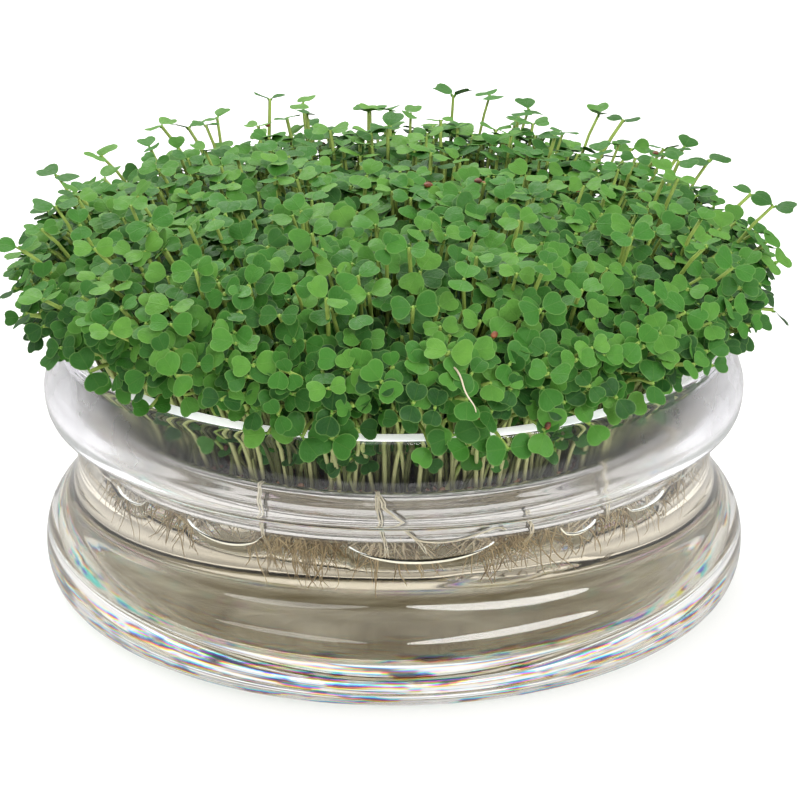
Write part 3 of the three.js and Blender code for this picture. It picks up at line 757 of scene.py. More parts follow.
def thin_out(material):
    """The mat grows thinner outwards: Alpha falls from 1 to 0 between two radii, sooner in some patches."""
    tree = material.node_tree
    radius = off_axis(tree, (0, SOAKED_FORWARD * MM, 0), (SOAKED_WIDE, 1, 0))
    radius = maths(tree, "MULTIPLY_ADD", patches(tree, 60), SOAKED_PATCHES * MM, radius)
    feed(tree, tree.nodes["Principled BSDF"], Alpha=over_range(tree, radius, SOAKED_THINS, 1.0, 0.0))
    return material


soaked_painted_glow_finish = root_finish("soaked_roots", (0.40, 0.33, 0.21), (0.90, 0.84, 0.71), 0.1, 90, 0.08)
soaked = make_piece("soaked_roots", *soaked_surface(), thin_out(soaked_painted_glow_finish))

# %% [markdown]
# On the sieve the roots knit into a dark felt, which the seedlings stand on. It is a thick disc with a
# bumpy top. A displaced grid would need its edge closed by hand, while a turned profile closes by itself.

# %% Felt on the sieve
FELT_FOOT, FELT_TOP, FELT_RADIUS = PLATE_FOOT + 1.1, PLATE_FOOT + 4.3, PLATE_RADIUS - GAP
FELT_RINGS_BELOW, FELT_RINGS_ABOVE, FELT_STEP = 40, 60, 0.8
FELT_SINK, FELT_BUMPS, FELT_BUMPS_BELOW = 0.2, 0.9, 0.3


def felt_surface(turns=240):
    """A disc whose upper and lower height add the same bumpy field, joined halfway up at its edge."""
    below = np.linspace(0, FELT_RADIUS, FELT_RINGS_BELOW)
    above = np.linspace(FELT_RADIUS - FELT_STEP, 0, FELT_RINGS_ABOVE)
    radius = np.concatenate([below, [FELT_RADIUS], above])[:, None]
    angle = full_turn(turns)
    rough = ripple(radius * np.cos(angle), radius * np.sin(angle), 14, 3)
    height = FELT_FOOT + FELT_BUMPS_BELOW * rough
    height[FELT_RINGS_BELOW] = (FELT_FOOT + FELT_TOP) / 2
    upper = slice(FELT_RINGS_BELOW + 1, None)
    height[upper] = FELT_TOP - FELT_SINK + FELT_BUMPS * rough[upper]
    return turn_profile(radius, height, turns)


felt_finish = root_finish("matted_roots", (0.03, 0.016, 0.009), (0.13, 0.07, 0.04))
felt = make_piece("root_mat", *felt_surface(), felt_finish)
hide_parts("root_felt")

# %% [markdown]
# Roots hang through the weave in tufts. They are slim tubes: each starts at the weave, falls with a random
# curl and ends in a fine tip. They crowd in tufts near the ring, where the photo shows most. Hair curves
# would be lighter, but the export takes meshes.

# %% Hanging roots
# Angles of the tufts in degrees: most of them where the photo shows them, the rest spread over the back.
TUFTS = np.array([208, 212, 217, 227, 230, 247, 249, 252, 255, 257, 260, 267, 271, 287, 290, 293, 295, 298,
                  308, 311, 315, 329, 334, 352, 9, 24, 46, 60, 87, 99, 127, 141, 168, 187])
ROOT_COUNT, ROOT_OFF_WALL, ROOT_LIFT = 2400, 0.6, 0.2
LOOSE_SHARE, TUFT_SPREAD, RING_SHARE = 0.3, 0.03, 0.85
NEAR_RING, FURTHER_IN = (53.5, 57.8), (20, 50)
LOOSE_LENGTH, TUFT_LENGTH, LENGTH_LIMITS = (3.0, 1.0), (6.0, 1.4), (1.5, 13.5)
ROOT_LEAN, ROOT_CURL, CURL_SHARE, STRAIGHTENS = 0.7, 0.42, 0.7, 0.75
ROOT_RADII, ROOT_TIP = (0.15, 0.34), 0.2
rng = np.random.default_rng(7)


def root_paths(count, steps=9):
    """Each path starts at the weave and adds up steps whose heading drifts from a drawn lean towards down."""
    loose = rng.random(count) < LOOSE_SHARE
    tuft = np.radians(TUFTS[rng.integers(0, len(TUFTS), count)])
    angle = np.where(loose, rng.uniform(0, 2 * np.pi, count), tuft + rng.normal(0, TUFT_SPREAD, count))
    at_ring = rng.random(count) < RING_SHARE
    start = np.where(at_ring, rng.uniform(*NEAR_RING, count), rng.uniform(*FURTHER_IN, count))
    length = np.where(loose, rng.gamma(*LOOSE_LENGTH, count), rng.gamma(*TUFT_LENGTH, count))
    length = length.clip(*LENGTH_LIMITS)
    lean = rng.normal(0, ROOT_LEAN, (count, 2))
    curl = rng.normal(0, ROOT_CURL, (count, steps, 2)).cumsum(axis=1) * CURL_SHARE
    level = (lean[:, None] + curl) * np.linspace(1.0, STRAIGHTENS, steps)[:, None]
    heading = unit(np.concatenate([level, np.full((count, steps, 1), -1.0)], axis=2))
    first = around_axis(start, angle, PLATE_FOOT + ROOT_LIFT)[:, None]
    path = first + np.cumsum(heading * (length / steps)[:, None, None], axis=1)
    path = np.concatenate([first, path], axis=1)
    reach = np.linalg.norm(path[:, :, :2], axis=2)
    limit = wall_radius(path[:, :, 2], ROOT_OFF_WALL)
    path[:, :, :2] *= (np.minimum(reach, limit) / np.maximum(reach, 1e-6))[:, :, None]
    thick = rng.uniform(*ROOT_RADII, count)
    return path, thick[:, None] * np.linspace(1, ROOT_TIP, steps + 1)


fine_roots = root_finish("fine_roots", (0.24, 0.165, 0.10), (0.52, 0.41, 0.28))
roots = make_piece("hanging_roots", *tubes(*root_paths(ROOT_COUNT), 4), fine_roots)
roots.visible_glossy = False

# %% [markdown]
# A few roots creep over the ring's bead and down its outside. They are drawn through given points, because
# the photo shows each of them, in strands that twist round each other. Turned copies serve the back.

# %% Creeping roots
# Points as angle in degrees, distance outside the ring, and height.
CREEPERS = np.array([
    [(267.0, -2.0, 36.4), (267.2, 0.0, 38.4), (267.3, 1.5, 37.2),
     (267.8, 0.7, 34.0), (268.6, 0.4, 30.0), (269.0, -1.0, 25.5)],
    [(267.2, -2.0, 36.6), (267.4, 0.2, 38.5), (267.7, 1.6, 37.2),
     (270.5, 0.8, 34.4), (274.5, 0.4, 30.0), (276.0, -1.0, 26.5)],
    [(273.5, 0.2, 30.6), (276.0, 0.5, 29.8), (280.5, 0.5, 29.7),
     (284.5, 0.5, 31.0), (288.0, 0.5, 32.4), (289.5, 0.4, 31.2)],
    [(246.5, -2.0, 36.4), (246.7, 0.2, 38.4), (246.6, 1.5, 37.0),
     (247.0, 0.6, 33.0), (247.0, 0.4, 30.0), (248.0, -1.0, 26.0)],
    [(293.6, 0.5, 33.4), (293.8, 0.6, 32.4), (294.2, 0.5, 31.2),
     (294.4, 0.4, 30.0), (294.0, 0.0, 28.4), (293.0, -1.0, 26.4)],
])
CREEPER_TURNS = (0, 63, 131, 218)
STRANDS, STRAND_TWIST, STRAND_APART = 3, 7, 2.4
STRAND_TURN, STRAND_OUT, STRAND_RADII = 0.3, 0.16, (0.16, 0.09)


def straight_runs(points, steps):
    """Equal steps along the straight runs between given points (..., m, 3): neighbours weighted by share."""
    way = np.linspace(0, points.shape[-2] - 1, steps)
    low = np.minimum(way.astype(int), points.shape[-2] - 2)
    share = (way - low)[:, None]
    return points[..., low, :] * (1 - share) + points[..., low + 1, :] * share


def soften(path, width):
    """A path (..., m, 3) averaged over a moving window of the given odd width, with its ends held."""
    hold = [(0, 0)] * path.ndim
    hold[-2] = (width // 2, width // 2)
    held = np.pad(path, hold, mode="edge")
    return sum(held[..., i : i + path.shape[-2], :] for i in range(width)) / width


def creeping_paths(steps=25):
    """Straight runs between the given points, softened, in strands that twist round each other: the angle
    sways by a cosine and the radius by a sine of the twist."""
    run = np.repeat(soften(straight_runs(CREEPERS, steps), 5), STRANDS, axis=0)
    twist = np.linspace(0, STRAND_TWIST, steps) + np.arange(len(run))[:, None] * STRAND_APART
    turned = np.concatenate([run + (turn, 0, 0) for turn in CREEPER_TURNS])
    twist = np.tile(twist, (len(CREEPER_TURNS), 1))
    angle = np.radians(turned[:, :, 0] + STRAND_TURN * np.cos(twist))
    radius = RING_RADIUS + turned[:, :, 1] + STRAND_OUT * np.sin(twist)
    path = around_axis(radius, angle, turned[:, :, 2])
    return path, np.broadcast_to(np.linspace(*STRAND_RADII, steps), path.shape[:2])


pale_roots = root_finish("pale_roots", (0.56, 0.47, 0.34), (0.80, 0.72, 0.60))
creepers = make_piece("creeping_roots", *tubes(*creeping_paths(), 5), pale_roots)

# %% [markdown]
# ## Seedlings
# Each seedling is a stem with two kidney-shaped seed leaves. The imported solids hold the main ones, so
# their rule is repeated here: feet on a sunflower spiral, tips on a wider, domed one, in layers. Scattering
# with geometry nodes would be quicker to set up, but it wouldn't give the same seedlings as the solids.

# %% The rule of the main seedlings
GOLDEN_ANGLE = math.pi * (3 - math.sqrt(5))
MAIN_COUNT, BED_RADIUS, CANOPY_RADIUS, ARCH_HEIGHT = 126, 55.0, 72.5, 60.0
CROWN_HEIGHT, CROWN_FALL, CROWN_POWER, HEIGHT_SWAY = 77.5, 14, 4, 2
LAYERS, LAYER_DROP, LAYER_DROP_AT_EDGE = 5, 2.6, 2.8
TALL_EVERY, TALL_TURN, TALL_LAYER = 8, 3, -1.4
LEAN_SWAY, TILT_AT_CENTRE, TILT_AT_EDGE, TILT_SWAY = 34, 10, 54, 11
LAYER_SHADE, MAIN_SIZE = 6, (1.0, 0.12)


def draw(number, channel):
    """A repeatable value from 0 to 1: the fraction of a large sine."""
    wave = np.sin(number * 12.9898 + channel * 78.233) * 43758.5453
    return wave - np.floor(wave)


def sway(number, channel, most):
    """A repeatable value from -most to most."""
    return (2 * draw(number, channel) - 1) * most


def drawn(number, channel, low, high, power=1):
    """A repeatable value between two ends: low + (high - low) * draw^power."""
    return low + (high - low) * draw(number, channel) ** power


def family(k, angle, foot, reach, height, turn, tilt, size, shade, arch=ARCH_HEIGHT):
    """The values of a family whose draws are numbered k. Its leaves lean to angle + turn in radians, by a
    tilt in degrees. Size is a pair: its middle and its sway."""
    values = dict(angle=angle, foot=foot, reach=reach, height=height, shade=shade, arch=arch)
    values.update(lean=angle + turn, tilt=np.radians(tilt))
    values.update(spin=np.pi * draw(k, 4), size=size[0] + sway(k, 5, size[1]))
    return {key: np.broadcast_to(value, k.shape).astype(float) for key, value in values.items()}


def main_seedlings():
    """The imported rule: share = sqrt((n + 1/2) / count), height falls with share^4 and by layers of five,
    and every eighth one outgrows the rest."""
    n = np.arange(MAIN_COUNT)
    share = np.sqrt((n + 0.5) / MAIN_COUNT)
    edge = share**CROWN_POWER
    layer = np.where(n % TALL_EVERY == TALL_TURN, TALL_LAYER, n % LAYERS)
    drop = (LAYER_DROP + (LAYER_DROP_AT_EDGE - LAYER_DROP) * edge) * layer
    height = CROWN_HEIGHT - CROWN_FALL * edge - drop + HEIGHT_SWAY * draw(n, 1)
    turn = np.radians(sway(n, 2, LEAN_SWAY))
    tilt = TILT_AT_CENTRE + (TILT_AT_EDGE - TILT_AT_CENTRE) * edge + sway(n, 3, TILT_SWAY)
    shade = np.clip(layer, 0, LAYERS - 1) / LAYER_SHADE
    feet, tips = BED_RADIUS * share, CANOPY_RADIUS * share
    return family(n, n * GOLDEN_ANGLE, feet, tips, height, turn, tilt, MAIN_SIZE, shade)


families = {"main": main_seedlings()}
print("main seedlings:", MAIN_COUNT, "up to", families["main"]["height"].max(), "mm")

# %% [markdown]
# The solids stop at the seedlings that carry the form. The same spiral with more turns fills the cushion
# through its depth, with low hummocks on top. Deep leaves get painted shade in their tone, as light is lost
# on the way down.

# %% Seedlings that fill the cushion
# Each family numbers its draws from a first number of its own, so no two share them.
FILLING_COUNT, FILLING_FIRST, FILLING_START, FILLING_STRAY = 2250, 1000, 0.7, 0.05
FILLING_REACH, FILLING_LIMIT, REACH_SWAY, FOOT_SWAY = 73.0, 74, 2.2, 3
FILLING_TOP, FILLING_FALL, FILLING_DEPTH, DEPTH_LOST_AT_EDGE, DEPTH_POWER = 78.8, 13.5, 18, 8, 1.25
HUMMOCK_PACE, HUMMOCK_HEIGHT = 0.12, 3.5
FILLING_LEAN, LEAN_LOST_AT_EDGE = 120, 0.6
LEAST_TILT, EDGE_TILT, DRAWN_TILT, TILT_POWER = 4, 46, 34, 1.5
FILLING_SIZE = (0.93, 0.17)


def filling_seedlings(count):
    """The same spiral with more turns, heights drawn through the cushion, and leaves that sway more."""
    n = np.arange(count)
    k = n + FILLING_FIRST
    share = np.sqrt((n + 0.5) / count)
    edge = share**CROWN_POWER
    angle = n * GOLDEN_ANGLE + FILLING_START + sway(k, 6, FILLING_STRAY)
    depth = draw(k, 1) ** DEPTH_POWER
    turn = np.radians(sway(k, 2, FILLING_LEAN) * (1 - LEAN_LOST_AT_EDGE * edge))
    tilt = LEAST_TILT + EDGE_TILT * edge * (0.25 + 0.75 * depth) + DRAWN_TILT * draw(k, 3) ** TILT_POWER
    feet = (BED_RADIUS * share + sway(k, 9, FOOT_SWAY)).clip(0, BED_RADIUS)
    tips = (FILLING_REACH * share + sway(k, 8, REACH_SWAY)).clip(0, FILLING_LIMIT)
    hummock = ripple(HUMMOCK_PACE * tips * np.cos(angle), HUMMOCK_PACE * tips * np.sin(angle), 6, 21)
    below = (FILLING_DEPTH - DEPTH_LOST_AT_EDGE * edge) * depth
    height = FILLING_TOP - FILLING_FALL * edge - below + HUMMOCK_HEIGHT * hummock
    return family(k, angle, feet, tips, height, turn, tilt, FILLING_SIZE, depth)


families["filling"] = filling_seedlings(FILLING_COUNT)
print("filling seedlings:", FILLING_COUNT)

# %% [markdown]
# Three smaller families make the cushion's outline lively: stems that arch over the rim and hang small
# leaves outside it, some that outgrew the rest, and late, short ones that show behind the glass. Each
# draws its values between two ends, so the ends are all that has to be read off the photo.

# %% Seedlings over the rim, outgrown ones and late ones
OVER_RIM_COUNT, OVER_RIM_FIRST, OVER_RIM_START, OVER_RIM_STRAY = 390, 3000, 0.32, 0.03
RIM_HEIGHT, RIM_HEIGHT_SPAN, DROOP, DROOP_SHARE = 56.6, 10.4, 4.0, 0.12
RIM_REACH, RIM_REACH_OF_HIGH, RIM_REACH_SPAN = 65.0, 2.5, 5
RIM_FOOT, RIM_ARCH, RIM_TILT, RIM_LEAN = (51, 55.4), (59, 62), (42, 76), 45
RIM_SIZE, RIM_SHADE = (0.86, 0.15), 0.25
TALL_COUNT, TALL_FIRST, TALL_START, TALL_STEP = 64, 4000, 1.1, 1.7
TALL_SHARE, TALL_SHARE_POWER, TALL_FOOT, TALL_REACH = (0.4, 1.0), 0.7, 54, 71
TALL_HEIGHT, TALL_FALL, TALL_POWER, TALL_SPAN = 79.0, 8.5, 6, 3.2
TALL_TILT, TALL_LEAN, TALL_SIZE, TALL_SHADE = (6, 36), 2.4, (0.9, 0.16), 0.0
LOW_COUNT, LOW_FIRST, LOW_START = 230, 5000, 0.3
LOW_FOOT, LOW_REACH, LOW_HEIGHT, LOW_HEIGHT_POWER = (50.5, 55.5), (54.5, 57.5), (41, 51), 0.7
LOW_TILT, LOW_LEAN, LOW_SIZE, LOW_SHADE, NO_ARCH = (25, 85), 0.8, (0.8, 0.14), 0.5, 0.0


def rim_seedlings(count):
    """Rows at the bed's edge whose stems arch over the rim and hang small leaves down its outside."""
    n = np.arange(count)
    k = n + OVER_RIM_FIRST
    angle = n * GOLDEN_ANGLE + OVER_RIM_START + sway(k, 6, OVER_RIM_STRAY)
    high = draw(k, 1)
    height = RIM_HEIGHT + RIM_HEIGHT_SPAN * high - DROOP * (draw(k, 11) < DROOP_SHARE)
    tips = RIM_REACH + RIM_REACH_OF_HIGH * high + RIM_REACH_SPAN * draw(k, 8)
    turn, tilt = np.radians(sway(k, 2, RIM_LEAN)), drawn(k, 3, *RIM_TILT)
    feet, arch = drawn(k, 9, *RIM_FOOT), drawn(k, 10, *RIM_ARCH)
    return family(k, angle, feet, tips, height, turn, tilt, RIM_SIZE, RIM_SHADE, arch)


def tall_seedlings(count):
    """A few that outgrew the rest and stand clear of the cushion, mostly towards its edge."""
    n = np.arange(count)
    k = n + TALL_FIRST
    angle = n * GOLDEN_ANGLE * TALL_STEP + TALL_START
    share = drawn(k, 8, *TALL_SHARE, TALL_SHARE_POWER)
    height = TALL_HEIGHT - TALL_FALL * share**TALL_POWER + TALL_SPAN * draw(k, 1)
    turn, tilt = sway(k, 2, TALL_LEAN), drawn(k, 3, *TALL_TILT)
    feet, tips = TALL_FOOT * share, TALL_REACH * share
    return family(k, angle, feet, tips, height, turn, tilt, TALL_SIZE, TALL_SHADE)


def low_seedlings(count):
    """Late, short seedlings behind the glass, whose small leaves stay inside the bowl."""
    n = np.arange(count)
    k = n + LOW_FIRST
    angle = n * GOLDEN_ANGLE + LOW_START
    feet, tips = drawn(k, 9, *LOW_FOOT), drawn(k, 8, *LOW_REACH)
    height = drawn(k, 1, *LOW_HEIGHT, LOW_HEIGHT_POWER)
    turn, tilt = sway(k, 2, LOW_LEAN), drawn(k, 3, *LOW_TILT)
    return family(k, angle, feet, tips, height, turn, tilt, LOW_SIZE, LOW_SHADE, NO_ARCH)


families["rim"] = rim_seedlings(OVER_RIM_COUNT)
families["tall"] = tall_seedlings(TALL_COUNT)
families["low"] = low_seedlings(LOW_COUNT)
print("edge seedlings:", OVER_RIM_COUNT, TALL_COUNT, LOW_COUNT)

# %% [markdown]
# Some seedlings catch the eye in the photo: those that hang over the front of the rim, and those that
# stand out against the pale ground. These are placed one by one, and join the others in one set of arrays.

# %% Seedlings placed one by one
# Angle in degrees, reach and height of the leaves. First those over the front of the rim.
HANGING = np.array([
    (275.1, 70.3, 52.1), (280.6, 70.7, 52.1), (286.2, 70.8, 50.8), (278.2, 70.7, 54.0), (257.1, 69.8, 53.0),
    (251.9, 69.4, 52.9), (291.7, 71.0, 53.3), (261.3, 69.8, 53.0), (298.5, 71.7, 53.4), (304.5, 71.6, 54.8),
])
# Those that stand out at the back and the sides.
STANDING = np.array([
    (147, 73, 73), (135, 70, 77), (127, 74, 74), (124, 68, 77), (114, 66, 80), (108, 64, 79), (95, 60, 78),
    (78, 61, 81), (71, 63, 81), (64, 66, 78), (53, 73, 77), (46, 70, 78), (33, 72, 75), (27, 73, 74),
    (12, 73, 72), (355, 73, 76), (196, 73, 72), (189, 65, 77), (165, 70, 75),
])
HANGING_FIRST, HANGING_TILT, STANDING_FIRST, STANDING_TILT = 6000, 56, 7000, 12
PLACED_TILT_SWAY, PLACED_LEAN, PLACED_SIZE, PLACED_SHADE = 10, 0.5, (1.05, 0.12), 0.1
STEM_REACH, PLACED_FOOT = 8, 54.0


def placed_seedlings(places, first, steepness):
    """Named places, with leaves that slope outwards by the given steepness in degrees."""
    k = np.arange(len(places)) + first
    angle, tips, height = np.radians(places[:, 0]), places[:, 1], places[:, 2]
    feet = np.minimum(tips - STEM_REACH, PLACED_FOOT)
    turn, tilt = sway(k, 2, PLACED_LEAN), steepness + sway(k, 3, PLACED_TILT_SWAY)
    return family(k, angle, feet, tips, height, turn, tilt, PLACED_SIZE, PLACED_SHADE)


families["hanging"] = placed_seedlings(HANGING, HANGING_FIRST, HANGING_TILT)
families["standing"] = placed_seedlings(STANDING, STANDING_FIRST, STANDING_TILT)
plants = {key: np.concatenate([kin[key] for kin in families.values()]) for key in families["main"]}
every = np.arange(len(plants["angle"]))
print("seedlings:", len(every))

# %% [markdown]
# A stem is a tube along a curve with three control points: the foot, a bend high above it, and the head.
# The bend keeps the stem upright inside the bowl and carries the outer ones over the rim. Leaves turn to
# the light, so their normals lean forward, most of all at the front.

# %% Places and directions of the seedlings
FELT_COVER, FOOT_SINK, FOOT_STRAY = 0.6, 1.5, 0.11
BEND_REACH, INNER_BEND_REACH, BEND_RISE = 0.3, 0.6, 0.75
FRONT_LEAN, FRONT_LEAN_FALL = 0.25, 0.0038
TILT_BESIDE, TILT_TO_FRONT = 0.7, 0.3


def spread_out(plants):
    """Points and directions of every seedling: foot, bend, head, leaf normal, and the leaves' long axis.
    The spin is drawn towards nought, where the long axis lies level, by a power of 1.5."""
    a, lean = plants["angle"], plants["lean"]
    added = every >= MAIN_COUNT
    strayed = a + sway(every, 51, FOOT_STRAY) * added
    foot = around_axis(plants["foot"], strayed, FELT_TOP + FELT_COVER - FOOT_SINK)
    head = around_axis(plants["reach"], a, plants["height"])
    straight = added & (plants["reach"] < RIM[0] - RIM_THICKNESS)
    bend = foot + (head - foot) * np.where(straight, INNER_BEND_REACH, BEND_REACH)[:, None]
    bend[:, 2] = np.maximum(foot[:, 2] + (head[:, 2] - foot[:, 2]) * BEND_RISE, plants["arch"])
    tilt = plants["tilt"] * (TILT_BESIDE - TILT_TO_FRONT * np.sin(a))
    normal = around_axis(np.sin(tilt), lean, np.cos(tilt))
    normal[:, 1] -= FRONT_LEAN - FRONT_LEAN_FALL * head[:, 1]
    normal = unit(normal)
    level = unit(np.stack([-normal[:, 1], normal[:, 0], np.zeros_like(a)], axis=1))
    spin = plants["spin"][:, None] - np.pi / 2
    spin = spin * (np.abs(spin) / (np.pi / 2)) ** 0.5
    along = level * np.cos(spin) + np.cross(normal, level) * np.sin(spin)
    return foot, bend, head, normal, along


foot, bend, head, normal, along = spread_out(plants)
print("heads up to", head[:, 2].max(), "mm")

# %% [markdown]
# A seed leaf is a thin closed shell: a ring of points round a kidney outline with a notch at its tip,
# a smaller ring inside it, and a middle point, above and below. The outline is an ellipse that is pushed
# in at the tip. Each leaf is cupped and twisted by its own amount, so no two catch the light alike.

# %% Shape of a seed leaf
LEAF_LENGTH, LEAF_WIDTH, LEAF_THICKNESS, LEAF_MIDDLE = 3.95, 4.4, 0.22, 0.45
OUTLINE_POINTS, MID_RING = 16, 0.6
NOTCH_DEPTH, NOTCH_SPAN, NARROW_FOOT, FOOT_SPAN, WIDE_TIP = 0.15, 0.38, 0.3, 0.8, 0.12


def leaf_outline():
    """Outline: x = L (0.5 - 0.5 cos a), y = W/2 sin a, widest past the middle, narrowed by a bell at the
    foot (a = 0) and drawn in by another at the tip (a = 180 degrees)."""
    a = full_turn(OUTLINE_POINTS)
    tip = np.exp(-(((a - np.pi) / NOTCH_SPAN) ** 2))
    foot_bell = np.exp(-((np.minimum(a, 2 * np.pi - a) / FOOT_SPAN) ** 2))
    x = LEAF_LENGTH * (0.5 - 0.5 * np.cos(a) - NOTCH_DEPTH * tip)
    y = LEAF_WIDTH / 2 * np.sin(a) * (1 - WIDE_TIP * np.cos(a)) * (1 - NARROW_FOOT * foot_bell)
    return np.stack([x, y], axis=1)


def leaf_template():
    """Points of a flat leaf: the outline, then a ring and a middle above, then both again below. With them
    go each point's share of the way out, its side (1/2 above, -1/2 below), and the quads and triangles."""
    n = OUTLINE_POINTS
    rim, middle = leaf_outline(), np.array([[LEAF_LENGTH * LEAF_MIDDLE, 0]])
    ring = middle + (rim - middle) * MID_RING
    flat = np.concatenate([rim, ring, middle, ring, middle])
    share = np.repeat([1.0, MID_RING, 0.0, MID_RING, 0.0], [n, n, 1, n, 1])
    side = np.repeat([0.0, 0.5, 0.5, -0.5, -0.5], [n, n, 1, n, 1])
    around = np.arange(n)
    onward = (around + 1) % n
    quads, fans = [], []
    for ring_start, middle_at, way in ((n, 2 * n, 1), (2 * n + 1, 3 * n + 1, -1)):
        band = np.stack([around, onward, ring_start + onward, ring_start + around], axis=1)
        fan = np.stack([ring_start + around, ring_start + onward, np.full(n, middle_at)], axis=1)
        quads.append(band[:, ::way])
        fans.append(fan[:, ::way])
    return flat, share, side, np.concatenate(quads), np.concatenate(fans)


flat, share, side, leaf_quads, leaf_fans = leaf_template()
print("leaf:", len(flat), "points", len(leaf_quads) + len(leaf_fans), "faces")

# %% [markdown]
# The flat leaf is then set on every head, twice: once to each side, at the end of a short stalk. It is
# lifted, twisted, cupped, folded along its rib and waved at its edge. Cloth or bend modifiers could do
# this for one leaf, but not for thousands in one step.

# %% Leaves on both sides of each head
STALK_LENGTH = 0.4
LEAF_SIZE_SWAY, LIFT, LIFT_SWAY, TWIST_SWAY = 0.1, 8, 15, 0.3
CUP, CUP_SWAY, FOLD, FOLD_SWAY, EDGE_WAVE = -0.012, 0.04, 0.08, 0.13, 0.12


def leaf_shells(facing):
    """Every leaf on one side of its head: the template, cupped by cup*r^2, folded by fold*|y| and waved by
    sin(3a) at its edge, then placed. Also the points where the leaves begin."""
    number = every * 2 + (facing > 0)
    size = plants["size"] * (1 + sway(number, 21, LEAF_SIZE_SWAY))
    lift = np.radians(LIFT + sway(number, 22, LIFT_SWAY))[:, None]
    twist = sway(number, 23, TWIST_SWAY)[:, None]
    cup, fold = sway(number, 24, CUP_SWAY) + CUP, FOLD + sway(number, 25, FOLD_SWAY)
    out = facing * along * np.cos(lift) + normal * np.sin(lift)
    across = np.cross(normal, facing * along)
    across = across * np.cos(twist) + np.cross(out, across) * np.sin(twist)
    up = np.cross(out, across)
    x, y = flat[:, 0] - LEAF_LENGTH * LEAF_MIDDLE, flat[:, 1]
    wave = EDGE_WAVE * share**3 * np.sin(3 * np.arctan2(y, x) + number[:, None])
    rise = cup[:, None] * (x**2 + y**2) + fold[:, None] * np.abs(y) + wave
    rise = rise + side * LEAF_THICKNESS * (1 - share**2)
    base = head + out * (STALK_LENGTH * plants["size"])[:, None]
    spread = out[:, None] * flat[:, :1] + across[:, None] * flat[:, 1:] + up[:, None] * rise[:, :, None]
    return base[:, None] + spread * size[:, None, None], base


shells = {facing: leaf_shells(facing) for facing in (1, -1)}
print("leaves:", 2 * len(every), "reaching up to", shells[1][0][:, :, 2].max(), "mm")

# %% [markdown]
# All seedlings of one packed bunch become one piece: stems, stalks and leaves together. Three attributes
# travel with the points and tell the material what they are: stem, leaf or leaf's underside, how far out
# on it, and the seedling's tone, which is partly drawn at random and partly painted shade.

# %% Stems, stalks and leaves as parts
STEM_RADIUS, STEM_TIP_RADIUS, STALK_RADIUS, STALK_SINK = 0.44, 0.34, 0.25, 0.25
STEM_STEPS, STEM_SIDES, STALK_STEPS, STALK_SIDES = 8, 5, 4, 4
STEM_WAVE, WAVE_TURN, WAVE_PACE = 0.5, 2.4, 5
STALK_BELOW, STALK_END = 0.5, 1.4
TONE_LEAST, TONE_SPAN, TONE_SHADE = 0.25, 0.75, 0.75


class Parts:
    """Arrays of many like shapes, each with a fixed number of points, that can be picked by seedling."""

    def __init__(self, points, quads, fans, uv, values):
        self.points, self.quads, self.fans, self.uv, self.values = points, quads, fans, uv, values

    def pick(self, chosen, start):
        """Points, faces numbered from start, UV and values of the chosen seedlings."""
        points = self.points[chosen]
        count, each, _ = points.shape
        quads, fans = (block + start for block in repeat_faces([self.quads, self.fans], count, each))
        uv = np.broadcast_to(self.uv, (count, each, 2)).reshape(-1, 2)
        values = [np.broadcast_to(value, (len(self.points), each))[chosen].ravel() for value in self.values]
        return points.reshape(-1, 3), quads, fans, uv, values


def tube_parts(paths, radii, sides, rise, tone_and_shade):
    """Tubes as parts, with UV running along and round them."""
    points, _ = tubes(paths, radii, sides)
    count, steps, _ = paths.shape
    way = np.concatenate([np.repeat(rise, sides), [rise[0], rise[-1]]])
    round_it = np.concatenate([np.tile(np.arange(sides) / sides, steps), [0, 0]])
    uv = np.stack([way, round_it], axis=1)
    values = [np.zeros((1, len(way))), way[None], tone_and_shade[:, None]]
    faces = (grid_faces(steps, sides), end_fans(steps, sides))
    return Parts(points.reshape(count, -1, 3), *faces, uv, values)


def stem_parts():
    """Quadratic curves foot (1-t)^2 + bend 2t(1-t) + head t^2 with a slight wave sideways, as thin tubes."""
    t = np.linspace(0, 1, STEM_STEPS)
    u = t[:, None]
    path = foot[:, None] * (1 - u) ** 2 + bend[:, None] * 2 * u * (1 - u) + head[:, None] * u**2
    wave = STEM_WAVE * np.sin(t * np.pi) * np.sin(t * WAVE_PACE + every[:, None])
    path[:, :, :2] += around_axis(wave, (every * WAVE_TURN)[:, None], 0)[:, :, :2]
    radii = np.linspace(STEM_RADIUS, STEM_TIP_RADIUS, STEM_STEPS) * drawn(every, 32, 0.85, 1.15)[:, None]
    return tube_parts(path, radii, STEM_SIDES, t, draw(every, 33))


def leaf_parts(facing, tone_and_shade):
    """The leaves on one side, and the straight stalks that carry them from just below the head."""
    points, base = shells[facing]
    uv = flat / (LEAF_LENGTH, LEAF_WIDTH) + (0, 0.5)
    leaves = Parts(points, leaf_quads, leaf_fans, uv, [1 + (side < 0)[None], share[None], tone_and_shade[:, None]])
    t = np.linspace(0, 1, STALK_STEPS)[:, None]
    end = base + STALK_SINK * (base - head)
    stalk = (head - normal * STALK_BELOW)[:, None] * (1 - t) + end[:, None] * t
    radii = np.full(stalk.shape[:2], STALK_RADIUS) * plants["size"][:, None]
    return [leaves, tube_parts(stalk, radii, STALK_SIDES, np.linspace(1, STALK_END, STALK_STEPS), tone_and_shade)]


# Tone is a random draw, lowered by painted shade for deep leaves.
tone_and_shade = np.clip(TONE_LEAST + TONE_SPAN * draw(every, 31) - TONE_SHADE * plants["shade"], 0, 1)
parts = [stem_parts(), *leaf_parts(1, tone_and_shade), *leaf_parts(-1, tone_and_shade)]
print("parts:", [part.points.shape for part in parts])

